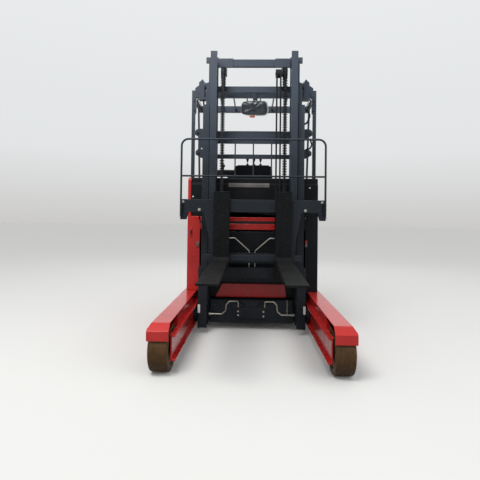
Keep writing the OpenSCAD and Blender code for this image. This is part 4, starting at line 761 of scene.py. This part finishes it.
# bolts: what each kind measures, then kind, finish, body, facing and where each stands
boltInputs = ("Head radius", "Head height", "Washer radius", "Washer height", "Sides")
boltKinds = {
    "m16": (0.0125, 0.0095, 0.0155, 0.0028, 6),
    "m12": (0.0098, 0.0072, 0.0125, 0.0022, 6),
    "m8": (0.0068, 0.0052, 0.0086, 0.0016, 6),
    "plug": (0.0070, 0.0020, 0.0085, 0.0010, 18),
}
ahead, left, right = (0, -1, 0), (-1, 0, 0), (1, 0, 0)
loadAxle = {"y": -0.85, "z": 0.165, "bolts": 0.021, "angles": (0.5, 2.6, 4.7)}
driveAxle = {"y": 0.94, "z": 0.1715, "bolts": 0.048, "angles": [math.tau * k / 7 for k in range(7)]}


def bothSides(places):
    return places + [(-x, y, z) for x, y, z in places]


def roundAxle(x, axle):
    reach = axle["bolts"]
    return [(x, axle["y"] + reach * math.cos(a), axle["z"] + reach * math.sin(a)) for a in axle["angles"]]


boltRows = [
    ("forkBar", "m12", zincBolt, "shift", ahead, [
        (-0.471, -0.145, 1.150), (0.462, -0.145, 1.150), (-0.616, -0.145, 1.219), (0.608, -0.145, 1.223)]),
    ("barEndRight", "m12", zincBolt, "shift", right, [
        (0.639, -0.124, 1.2), (0.639, -0.124, 1.158), (0.639, -0.124, 1.085)]),
    ("barEndLeft", "m12", zincBolt, "shift", left, [(-0.639, -0.124, 1.2), (-0.639, -0.124, 1.085)]),
    ("valveFace", "m8", zincBolt, "reach", ahead, [
        (-0.129, 0.213, 0.183), (-0.128, 0.213, 0.147), (0.116, 0.213, 0.183), (0.116, 0.213, 0.138)]),
    ("mastEars", "m12", blackBolt, "reach", ahead, bothSides([(0.545, 0.217, 1.908), (0.535, 0.217, 1.712)])),
    ("mastFoot", "m16", blackBolt, "reach", ahead, bothSides([(0.36, 0.231, 0.14), (0.36, 0.231, 0.24)])),
    ("axleRight", "m8", zincBolt, "root", right, roundAxle(0.697, loadAxle)),
    ("axleLeft", "m8", zincBolt, "root", left, roundAxle(-0.697, loadAxle)),
    ("guardGusset", "m8", blackBolt, "root", ahead, bothSides([
        (0.611, 0.414, 2.185), (0.611, 0.414, 2.285)])),
    ("wallPlugs", "plug", whiteLabel, "root", ahead, [(0.569, 0.345, 1.393), (-0.600, 0.345, 1.295)]),
    ("postBolt", "m8", zincBolt, "root", ahead, [(-0.542, 0.340, 0.820)]),
    ("wheelNuts", "m12", blackBolt, "drive", left, roundAxle(-0.281, driveAxle)),
]
for label, kind, metal, body, facing, places in boltRows:
    points, sizes = pointMesh(label, places, facing), dict(zip(boltInputs, boltKinds[kind]))
    growPiece("bolts_" + label, boltTree, points, sizes, body, look=metal, smooth=30)
print("bolts placed:", sum(len(row[5]) for row in boltRows))


# lift chains on their flanged wheels
chainWheel = {"x": 0.291, "y": 0.109, "z": 2.454, "radius": 0.048, "half": 0.022, "chainOff": 0.006}


def chainPath(side):
    x, y, z = side * chainWheel["x"], chainWheel["y"], chainWheel["z"]
    run = chainWheel["radius"] + chainWheel["chainOff"]
    over = [(x, y - run * math.cos(a), z + run * math.sin(a)) for a in (math.pi * k / 16 for k in range(17))]
    return [(x, y - run, 1.250)] + over + [(x, y + run, 2.310)]


def turnWheels(bm):
    r, half = chainWheel["radius"], chainWheel["half"]
    flange = [(-half, 0.0125), (-half, 0.030), (-half, r + 0.006), (-half + 0.0006, r + 0.008),
              (-half + 0.002, r + 0.0075), (-half + 0.0045, r)]
    profile = flange + [(-along, radius) for along, radius in reversed(flange)]
    for side in (-1, 1):
        addTurned(bm, profile, (side * chainWheel["x"], chainWheel["y"], chainWheel["z"]), right, 48)


growPiece("liftChains", leafChainTree, pathMesh("chainPaths", [chainPath(-1), chainPath(1)]), {},
          bodyOf["lift_chains"], "chain_steel", replaced=["lift_chains"])
newPiece("chainWheels", turnWheels, bodyOf["lift_chains"], "chain_steel")
print("lift chains linked")


# hoses and the little hanging chain
hoseRuns = {    # each: radius, bend, body, path
    "sideLoop": (0.009, 0.04, "reach", [
        (0.470, 0.150, 2.126), (0.512, 0.150, 2.120), (0.536, 0.150, 2.070), (0.514, 0.150, 2.000),
        (0.470, 0.150, 1.976)]),
    "earLoop": (0.008, 0.03, "reach", [
        (0.500, 0.207, 1.862), (0.548, 0.207, 1.850), (0.566, 0.207, 1.800), (0.548, 0.207, 1.762),
        (0.505, 0.207, 1.752)]),
    "elbowHose": (0.008, 0.03, "middle", [
        (-0.523, 0.283, 2.150), (-0.505, 0.283, 2.110), (-0.495, 0.283, 2.180), (-0.500, 0.283, 2.252)]),
    "elbowLeft": (0.006, 0.018, "middle", [
        (-0.535, 0.283, 2.262), (-0.574, 0.283, 2.262), (-0.533, 0.283, 2.190), (-0.521, 0.283, 2.140)]),
    "elbowRight": (0.006, 0.018, "middle", [
        (0.535, 0.283, 2.262), (0.574, 0.283, 2.262), (0.533, 0.283, 2.190), (0.521, 0.283, 2.140)]),
    "valveLeft": (0.0055, 0.02, "reach", [
        (-0.074, 0.222, 0.215), (-0.074, 0.222, 0.262), (-0.15, 0.222, 0.275), (-0.31, 0.238, 0.262),
        (-0.34, 0.262, 0.2)]),
    "valveRight": (0.0055, 0.02, "reach", [
        (0.062, 0.222, 0.215), (0.062, 0.222, 0.255), (0.14, 0.222, 0.266), (0.30, 0.238, 0.256),
        (0.33, 0.262, 0.2)]),
}
for label, (radius, bend, body, path) in hoseRuns.items():
    growPiece("hose_" + label, hoseTree, pathMesh(label, [path]), {
        "Radius": radius, "Bend": bend, "Sides": 12}, body, "hose_rubber")
hanging = pathMesh("smallChainPath", [[(0.344, 0.222, 0.286), (0.344, 0.222, 0.162)]])
growPiece("smallChain", ringChainTree, hanging, {}, "reach", "zinc_pipe", zincBolt)
print("hoses and fittings run")


# weld beads along the main seams: body and straight runs
seams = {
    "reach": [[(-0.416, 0.2305, z), (0.416, 0.2305, z)] for z in (1.930, 1.812, 0.560, 0.290)],
    "shift": [[(x, -0.145, 1.131), (x, -0.145, 1.241)] for x in (-0.609, 0.609)],
    "root": [[(x, -0.947, 0.2735), (x, 0.33, 0.2735)] for x in (-0.549, 0.549)],
}
for body, paths in seams.items():
    growPiece("welds_" + body, weldTree, pathMesh("seams" + body, paths), {}, body, smooth=60,
              look=finishes["red_enamel" if body == "root" else "charcoal_paint"])
print("welds laid")


# load backrest: bent tube, mid rail, and bars from the rail to the top
backrest = {
    "half": 0.630, "y": -0.172, "foot": 1.092, "top": 1.770, "middle": 1.445, "tube": 0.009, "rail": 0.008,
    "bar": 0.006, "pitch": 0.159, "bars": 5, "corner": 0.060, "sides": 20, "lugHalf": 0.009,
    "lugBack": -0.1452, "lugTop": 1.222,
}


def weldBars(bm):
    y, middle, top, lug = (backrest[k] for k in ("y", "middle", "top", "lugHalf"))
    for k in range(backrest["bars"]):
        x = (k - (backrest["bars"] - 1) / 2) * backrest["pitch"]
        addTube(bm, [(x, y, middle), (x, y, top)], backrest["bar"], 12)
    screw = [(0, 0.013), (0.0025, 0.013), (0.003, 0.009), (0.009, 0.0085)]
    for side in (-1, 1):
        x = side * backrest["half"]
        low, high = (x - lug, y, backrest["foot"]), (x + lug, backrest["lugBack"], backrest["lugTop"])
        addBlock(bm, low, high, 0.0015)
        addTurned(bm, screw, (x, -0.160, 1.2), (side, 0, 0), 6)


def makeBackrest():
    half, y, foot, top, middle = (backrest[k] for k in ("half", "y", "foot", "top", "middle"))
    body, sides = bodyOf["load_backrest"], backrest["sides"]
    hoop = pathMesh("backrestPath", [[(-half, y, foot), (-half, y, top), (half, y, top), (half, y, foot)]])
    growPiece("backrestTube", hoseTree, hoop, {
        "Radius": backrest["tube"], "Bend": backrest["corner"], "Sides": sides}, body, "charcoal_paint",
        replaced=["load_backrest"])
    rail = pathMesh("railPath", [[(-half, y, middle), (half, y, middle)]])
    growPiece("backrestRail", hoseTree, rail, {
        "Radius": backrest["rail"], "Bend": 0.01, "Sides": sides}, body, "charcoal_paint")
    newPiece("backrestBars", weldBars, body, "charcoal_paint")


makeBackrest()
print("backrest built")


# mirror, wrapped in crumpled dark film with a pale loose edge
mirror = {
    "outline": [
        (-0.120, 2.146), (-0.131, 2.170), (-0.130, 2.215), (-0.120, 2.256), (-0.098, 2.276), (0.030, 2.281),
        (0.112, 2.278), (0.131, 2.262), (0.138, 2.214), (0.139, 2.168), (0.128, 2.142), (0.100, 2.132),
        (0.010, 2.130), (-0.062, 2.132)],
    "centre": (0.004, 2.206), "front": 0.382, "bulge": 0.010, "side": 0.395, "back": 0.409,
    "backShare": 0.97, "rings": 9, "crumple": 0.013, "cornerPoints": 5, "tag": (-0.014, 0.388, 2.118),
    "film": 0.018, "filmAt": 0.386, "filmWave": 0.004, "filmThick": 0.0012,
}


# film drawn together at the middle: folds run out from there to the rim
def foldHeight(x, z):
    angle = math.atan2(z - 2.205, x)
    radial = math.sin(angle * 7 + 2.3 * noise.noise((x * 14, z * 14, 0.5)))
    return 0.5 * radial + 0.7 * noise.noise((x * 30, z * 30, 4.0))


# the outline with each of its corners rounded
def mirrorRim():
    points, each, rim = mirror["outline"], mirror["cornerPoints"], []
    count = len(points)
    for i in range(count):
        a, b, c = (Vector((*points[(i + k) % count], 0)) for k in (-1, 0, 1))
        start, end = (a + b) / 2, (b + c) / 2
        rim += [start.lerp(b, t).lerp(b.lerp(end, t), t).xy for t in (k / each for k in range(each))]
    return rim


def wrapMirror(bm):
    rim, centre, rings = mirrorRim(), Vector(mirror["centre"]), []
    for k in range(mirror["rings"] + 1):
        share = k / mirror["rings"]
        depth = mirror["front"] + mirror["bulge"] * share ** 4
        swing = mirror["crumple"] * 0.5 * math.sin(math.pi * min(share, 0.9) ** 0.8)
        flat = [centre.lerp(point, max(share, 0.02)) for point in rim]
        rings.append([bm.verts.new((x, depth - foldHeight(x, z) * swing, z)) for x, z in flat])
    for share, y in ((1.0, mirror["side"]), (mirror["backShare"], mirror["back"])):
        flat = [centre.lerp(point, share) for point in rim]
        rings.append([bm.verts.new((x, y, z)) for x, z in flat])
    closeRings(bm, rings)


def looseEdge(bm):
    rim, centre, rows = mirrorRim(), Vector(mirror["centre"]), []
    for k, point in enumerate(rim):
        swell = 0.35 + 0.65 * max(0.0, math.sin(math.tau * (k / len(rim) - 0.42)))
        wide = mirror["film"] * swell * (1 + 0.5 * noise.noise((point.x * 40, point.y * 40, 2.0)))
        out = (point - centre).normalized()
        row = []
        for j in range(4):
            x, z = point + out * (wide * j / 3 - 0.004)
            wave = noise.noise((point.x * 70, point.y * 70, j * 0.7))
            row.append(bm.verts.new((x, mirror["filmAt"] + mirror["filmWave"] * wave, z)))
        rows.append(row)
    for first, second in zip(rows, rows[1:] + rows[:1]):
        for j in range(3):
            bm.faces.new((first[j], first[j + 1], second[j + 1], second[j]))
    bmesh.ops.solidify(bm, geom=bm.faces[:], thickness=mirror["filmThick"])


def hangTag(bm):
    x, y, z = mirror["tag"]
    addBlock(bm, (x - 0.026, y - 0.004, z - 0.009), (x + 0.026, y + 0.004, z + 0.010), 0.003)
    addTube(bm, [(x, y, z + 0.006), (x + 0.002, y, z + 0.018), (x + 0.001, y + 0.002, z + 0.030)], 0.0012, 6)


def hangMirror(bm):
    addBlock(bm, (-0.010, 0.405, 2.235), (0.038, 0.4138, 2.408), 0.002)
    addBlock(bm, (-0.018, 0.400, 2.372), (0.046, 0.4138, 2.412), 0.003)
    cup = [(0, 0.012), (0.004, 0.019), (0.012, 0.020), (0.015, 0.016)]
    addTurned(bm, cup, (0.014, 0.412, 2.25), ahead, 24)


newPiece("mirrorWrapped", wrapMirror, "root", "mirror_shell", replaced=["guard_mirror"], smooth=24)
newPiece("mirrorFilmEdge", looseEdge, "root", look=film, smooth=20)
newPiece("mirrorTag", hangTag, "root", look=orangeLens, smooth=30)
newPiece("mirrorHanger", hangMirror, "root", "charcoal_paint")
print("mirror hung")


# small blocks fixed on the body: latches, blank stickers, gasket, display, and black blocks of painted shade
# on the latch and the hood
red, nylon, rubber, powder = (
    finishes[slot] for slot in ("red_enamel", "black_knob", "hose_rubber", "black_cover"))
fixed = {    # each: finish, body, blocks of (low corner, high corner, easing)
    "latchPlate": (red, "root", [((-0.628, 0.332, 0.893), (-0.601, 0.341, 0.985), 0.003)]),
    # painted shade: a black block for the shading on the red latch
    "latchShade": (nylon, "root", [((-0.621, 0.322, 0.915), (-0.608, 0.334, 0.962), 0.003)]),
    "sideBlocks": (greyStrip, "root", [
        ((-0.557, 0.326, 0.796), (-0.529, 0.341, 0.846), 0.003),
        ((0.524, 0.330, 0.803), (0.546, 0.341, 0.836), 0.002)]),
    # painted shade: a black strip for the shaded gap between the hood's red bars
    "hoodGapShade": (nylon, "root", [((-0.5235, 0.3475, 1.027), (0.5235, 0.3529, 1.051), 0.001)]),
    "postTrim": (powder, "root", [((0.498, 0.3395, 0.967), (0.5265, 0.3448, 1.10), 0.001)]),
    "redBlock": (red, "root", [((0.526, 0.328, 0.838), (0.546, 0.341, 0.868), 0.002)]),
    "stickers": (whiteLabel, "reach", [
        ((-0.4995, 0.0623, 0.197), (-0.478, 0.0631, 0.274), 0.0),
        ((0.478, 0.0623, 0.197), (0.4995, 0.0631, 0.2715), 0.0)]),
    "doorLatch": (nylon, "door", [
        ((0.470, 1.274, 0.600), (0.530, 1.280, 0.680), 0.002),
        ((0.482, 1.276, 0.618), (0.518, 1.284, 0.634), 0.003)]),
    "doorGasket": (rubber, "root", [
        ((0.5605, 1.2585, 0.246), (0.5665, 1.2640, 1.004), 0.001),
        ((-0.560, 1.2585, 1.0005), (0.5605, 1.2640, 1.0065), 0.001),
        ((-0.560, 1.2585, 0.2435), (0.5605, 1.2640, 0.2495), 0.001)]),
    "doorPress": (red, "door", [
        ((-0.440, 1.2735, z), (0.380, 1.2785, z + 0.022), 0.004) for z in (0.885, 0.835)]),
    "displayBezel": (nylon, "root", [((-0.095, 0.683, 1.500), (0.095, 0.692, 1.616), 0.004)]),
    "displayGlass": (darkGlass, "root", [((-0.080, 0.690, 1.512), (0.080, 0.6935, 1.604), 0.001)]),
    "consoleKeys": (greyStrip, "root", [
        ((0.034 * k - 0.075, 0.684, 1.468), (0.034 * k - 0.051, 0.690, 1.486), 0.003) for k in range(5)]),
    "floorEdge": (zincBolt, "root", [((0.640, 0.700, 0.398), (0.654, 1.180, 0.4055), 0.002)]),
}


def addBlocks(bm, blocks):
    for low, high, ease in blocks:
        addBlock(bm, low, high, ease)


for label, (look, body, blocks) in fixed.items():
    newPiece(label, lambda bm: addBlocks(bm, blocks), body, look=look)


# one section (points of y and z) run along x
def addSection(bm, section, start, end):
    closeRings(bm, [[bm.verts.new((x, y, z)) for y, z in section] for x in (start, end)])


# pressed louvres low in the rear door: a grid of raised lips over black blocks of painted shade in the slots
louvres = {"xs": (-0.30, 0.0, 0.30), "wide": 0.200, "low": 0.330, "pitch": 0.030, "count": 7, "face": 1.275}
louvrePlaces = [
    (x, louvres["low"] + louvres["pitch"] * k) for x in louvres["xs"] for k in range(louvres["count"])]


def pressLips(bm):
    half, face = louvres["wide"] / 2, louvres["face"]
    for x, z in louvrePlaces:
        section = [(face - 0.0005, z), (face - 0.0005, z + 0.018), (face + 0.003, z + 0.014),
                   (face + 0.0065, z + 0.003)]
        addSection(bm, section, x - half, x + half)


# painted shade: black blocks fill the slots under the lips
def fillSlotShade(bm):
    half, face = louvres["wide"] / 2 - 0.004, louvres["face"]
    for x, z in louvrePlaces:
        addBlock(bm, (x - half, face - 0.002, z - 0.0055), (x + half, face + 0.0006, z + 0.0005))


newPiece("doorLouvres", pressLips, "door", "red_enamel", smooth=20)
newPiece("doorSlotShade", fillSlotShade, "door", "black_knob")

# pale grey strip along the step in the wall, lying on its slope: a painted highlight for the sky reflected
# there
skyHighlightSection = [
    (0.3445, 1.394), (0.3445, 1.4195), (0.3605, 1.4335), (0.3585, 1.4365), (0.3415, 1.4215), (0.3415, 1.394)]
newPiece("paintedLedgeHighlight", lambda bm: addSection(bm, skyHighlightSection, -0.245, 0.165), "root", look=greyStrip)


# moulded arm rest that reaches from the console, with a round knob on it
def mouldArm(bm):
    addBlock(bm, (-0.392, 0.602, 1.545), (-0.196, 0.676, 1.604), 0.016)
    addBlock(bm, (-0.275, 0.612, 1.505), (-0.196, 0.666, 1.560), 0.012)
    knob = [(0, 0.012), (0.010, 0.009), (0.030, 0.009), (0.038, 0.018), (0.052, 0.021), (0.062, 0.015),
            (0.066, 0.005)]
    addTurned(bm, knob, (-0.321, 0.640, 1.600), (0, 0, 1), 24)


newPiece("consoleArm", mouldArm, "root", "black_knob")

# nuts and sleeves where the hard pipes end: radius, length, start back from the pipe's end, sides
pipeEnds = [(0.400, 0.2237, 0.153), (0.402, 0.2237, 0.889)]
pipeNuts = [(0.0125, 0.016, 0.006, 6), (0.0095, 0.028, 0.028, 20)]


def screwNuts(bm):
    for x, y, z in pipeEnds:
        for side in (-1, 1):
            for radius, length, back, sides in pipeNuts:
                addTurned(bm, [(0, radius), (length, radius)], (side * (x - back), y, z), (side, 0, 0), sides)


newPiece("pipeNuts", screwNuts, "reach", "zinc_pipe", zincBolt)

# studded rubber mat on the step, every second row of studs moved along
rubberMat = {
    "low": (-0.012, 0.702, 0.4002), "high": (0.638, 1.178, 0.4050), "stud": 0.028, "studRadius": 0.0085,
}


def layMat(bm):
    (x0, y0, _), (x1, y1, z1) = rubberMat["low"], rubberMat["high"]
    step, r = rubberMat["stud"], rubberMat["studRadius"]
    stud = [(0, r), (0.0014, r * 0.92), (0.002, r * 0.7)]
    addBlock(bm, rubberMat["low"], rubberMat["high"], 0.0015)
    for i in range(int((x1 - x0) / step)):
        for j in range(int((y1 - y0) / step)):
            x = x0 + step * (i + 0.6 + 0.3 * (j % 2))
            if x < x1 - 0.01:
                addTurned(bm, stud, (x, y0 + step * (j + 0.6), z1 - 0.0002), (0, 0, 1), 10)


newPiece("floorMat", layMat, "root", "hose_rubber", smooth=30)


# hub caps pressed over the load axles, with a grease nipple
def pressCaps(bm):
    cap = [(0, 0.0325), (0.0012, 0.0330), (0.0024, 0.0315), (0.0030, 0.014), (0.0030, 0.006)]
    nipple = [(0.0030, 0.0045), (0.0065, 0.0042), (0.0075, 0.0026), (0.010, 0.0024), (0.011, 0.0010)]
    for side in (-1, 1):
        centre = (side * 0.6972, loadAxle["y"], loadAxle["z"])
        addTurned(bm, cap, centre, (side, 0, 0), 36)
        addTurned(bm, nipple, centre, (side, 0, 0), 12)


newPiece("hubCaps", pressCaps, "root", "zinc_pipe", zincBolt)


# emergency stop on the console: red mushroom on a collar
def stopButton(bm):
    mushroom = [(0, 0.017), (0.006, 0.017), (0.007, 0.011), (0.014, 0.010), (0.0145, 0.0185), (0.017, 0.0200),
                (0.022, 0.0195), (0.0255, 0.015), (0.027, 0.006)]
    addTurned(bm, mushroom, (0.148, 0.685, 1.56), (0, 1, 0), 32)


newPiece("stopButton", stopButton, "root", "red_enamel")

# control levers: ribbed boots, bright stems and waisted knobs
levers = {"xs": (-0.060, 0.010, 0.080), "y": 0.645, "boot": 1.651, "stem": 1.657, "knob": 1.692}
bootRibs = [(0.0, 0.021)]
for k in range(5):
    bootRibs += [(0.003 + 0.005 * k, 0.0195 - 0.0024 * k), (0.0055 + 0.005 * k, 0.0165 - 0.0024 * k)]
stem = [(0, 0.0045), (0.050, 0.0045)]
waistedKnob = [
    (0, 0.0075), (0.003, 0.0090), (0.010, 0.0085), (0.018, 0.0120), (0.026, 0.0148), (0.033, 0.0145),
    (0.038, 0.0115), (0.0405, 0.0060), (0.041, 0.0015)]


def turnLevers(bm, profile, z, sides):
    for x in levers["xs"]:
        addTurned(bm, profile, (x, levers["y"], z), (0, 0, 1), sides)


for label, part, profile, sides, slot, replaced in (
        ("leverBoots", "boot", bootRibs, 28, "hose_rubber", ()),
        ("leverStems", "stem", stem, 16, "bright_steel", ()),
        ("leverKnobs", "knob", waistedKnob, 28, "black_knob", ("controls",))):
    newPiece(label, lambda bm: turnLevers(bm, profile, levers[part], sides), "root", slot, replaced=replaced)
print("small parts fixed")


# seat pads: swollen by a short cloth run, then sewn and piped
pads = {
    "seatCushion": {"node": "seat_cushion", "up": 2, "ease": 0.030, "slack": 0.010, "cap": 0.016,
                    "panel": 0.062, "channels": 3, "along": 0, "fill": 0.7},
    "seatBack": {"node": "seat_back", "up": 0, "ease": 0.026, "slack": 0.010, "cap": 0.014,
                 "panel": 0.060, "channels": 4, "along": 2, "fill": 0.7},
}
swelling = {
    "use_pressure": True, "uniform_pressure_force": 4.0, "tension_stiffness": 12, "compression_stiffness": 12,
    "quality": 4, "vertex_group_mass": "rested",
}
swellingFrames, restedBand = 20, 0.004
voxel = 0.006
sewing = {"depth": 0.0062, "width": 0.0060, "above": 0.012}
piping = {"radius": 0.0032, "below": 0.020, "points": 160, "corner": 0.45}


def padStart(s):
    low, high = (Vector(corner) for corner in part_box(s["node"]))
    for axis in range(3):
        low[axis] += s["slack"]
        high[axis] -= s["slack"]
    low[s["up"]] -= s["slack"]     # the rested side stays on its seat
    bm = bmesh.new()
    addBlock(bm, low, high)
    bmesh.ops.bevel(bm, geom=bm.edges[:], offset=s["ease"], segments=5, profile=0.5, affect="EDGES")
    mesh = bpy.data.meshes.new(s["node"] + "Start")
    bm.to_mesh(mesh)
    bm.free()
    holder = bpy.data.objects.new(s["node"] + "Holder", mesh)
    scene.collection.objects.link(holder)
    remesh = holder.modifiers.new("voxels", "REMESH")
    remesh.mode = "VOXEL"
    remesh.voxel_size = voxel
    graph = bpy.context.evaluated_depsgraph_get()
    dense = bpy.data.meshes.new_from_object(holder.evaluated_get(graph))
    bpy.data.objects.remove(holder)
    return dense, low, high


def swell(mesh, s, low):
    start = [v.co.copy() for v in mesh.vertices]
    holder = bpy.data.objects.new(s["node"] + "Cloth", mesh)
    scene.collection.objects.link(holder)
    rested = holder.vertex_groups.new(name="rested")
    up = s["up"]
    rested.add([i for i, co in enumerate(start) if abs(co[up] - low[up]) < restedBand], 1.0, "REPLACE")
    cloth = holder.modifiers.new("cloth", "CLOTH")
    for setting, value in swelling.items():
        setattr(cloth.settings, setting, value)
    cloth.settings.effector_weights.gravity = 0
    cloth.collision_settings.use_collision = False
    cloth.point_cache.frame_start, cloth.point_cache.frame_end = 1, swellingFrames
    for step in range(1, swellingFrames + 1):
        scene.frame_set(step)
    graph = bpy.context.evaluated_depsgraph_get()
    swollen = bpy.data.meshes.new_from_object(holder.evaluated_get(graph))
    bpy.data.objects.remove(holder)
    scene.frame_set(1)
    for vertex, before in zip(swollen.vertices, start):
        shift = vertex.co - before
        if shift.length > s["cap"]:
            vertex.co = before + shift.normalized() * s["cap"]
    return swollen


# how far a seam or a channel near this point draws the cover in
def sewnDepth(s, co, low, high):
    across = [axis for axis in range(3) if axis != s["up"]]
    edge = min(min(co[a] - low[a], high[a] - co[a]) for a in across)
    lines = [abs(edge - s["panel"])]
    if edge > s["panel"]:
        a = s["along"]
        span = (high[a] - low[a] - 2 * s["panel"]) / (s["channels"] + 1)
        lines += [abs(co[a] - low[a] - s["panel"] - span * (k + 1)) for k in range(s["channels"])]
    return sewing["depth"] * math.exp(-(min(lines) / sewing["width"]) ** 2)


def makePad(s):
    mesh, low, high = padStart(s)
    mesh = swell(mesh, s, low)
    bm = bmesh.new()
    bm.from_mesh(mesh)
    bmesh.ops.subdivide_edges(bm, edges=bm.edges[:], cuts=1, use_grid_fill=True, smooth=0.6)
    up, middle = s["up"], (low[s["up"]] + high[s["up"]]) / 2
    for vertex in bm.verts:
        if vertex.co[up] - middle > sewing["above"]:
            vertex.co[up] -= sewnDepth(s, vertex.co, low, high)
    bm.to_mesh(mesh)
    bm.free()
    return mesh, low, high


# piping: a cord laid where the top panel meets the side band
def pipePad(name, s, mesh, low, high):
    tree = BVHTree.FromPolygons([v.co for v in mesh.vertices], [p.vertices for p in mesh.polygons])
    around = [axis for axis in range(3) if axis != s["up"]]
    origin = (low + high) / 2
    origin[s["up"]] = high[s["up"]] - piping["below"]
    path = []
    for k in range(piping["points"]):
        a = math.tau * k / piping["points"]
        way = Vector((0, 0, 0))
        for axis, part in zip(around, (math.cos(a), math.sin(a))):
            way[axis] = math.copysign(abs(part) ** piping["corner"], part) * (high[axis] - low[axis])
        hit = tree.ray_cast(origin + way, -way.normalized())[0]
        if hit:
            path.append(hit)
    newPiece(name, lambda bm: addTube(bm, path, piping["radius"], 8, True), "root", "seat_vinyl")


for name, s in pads.items():
    padMesh, low, high = makePad(s)
    pipePad(name + "Piping", s, padMesh, low, high)
    pad = finishMesh(name, padMesh, finishes["seat_vinyl"], bodyOf[s["node"]], [s["node"]], 180)
print("seat padded")

low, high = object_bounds()
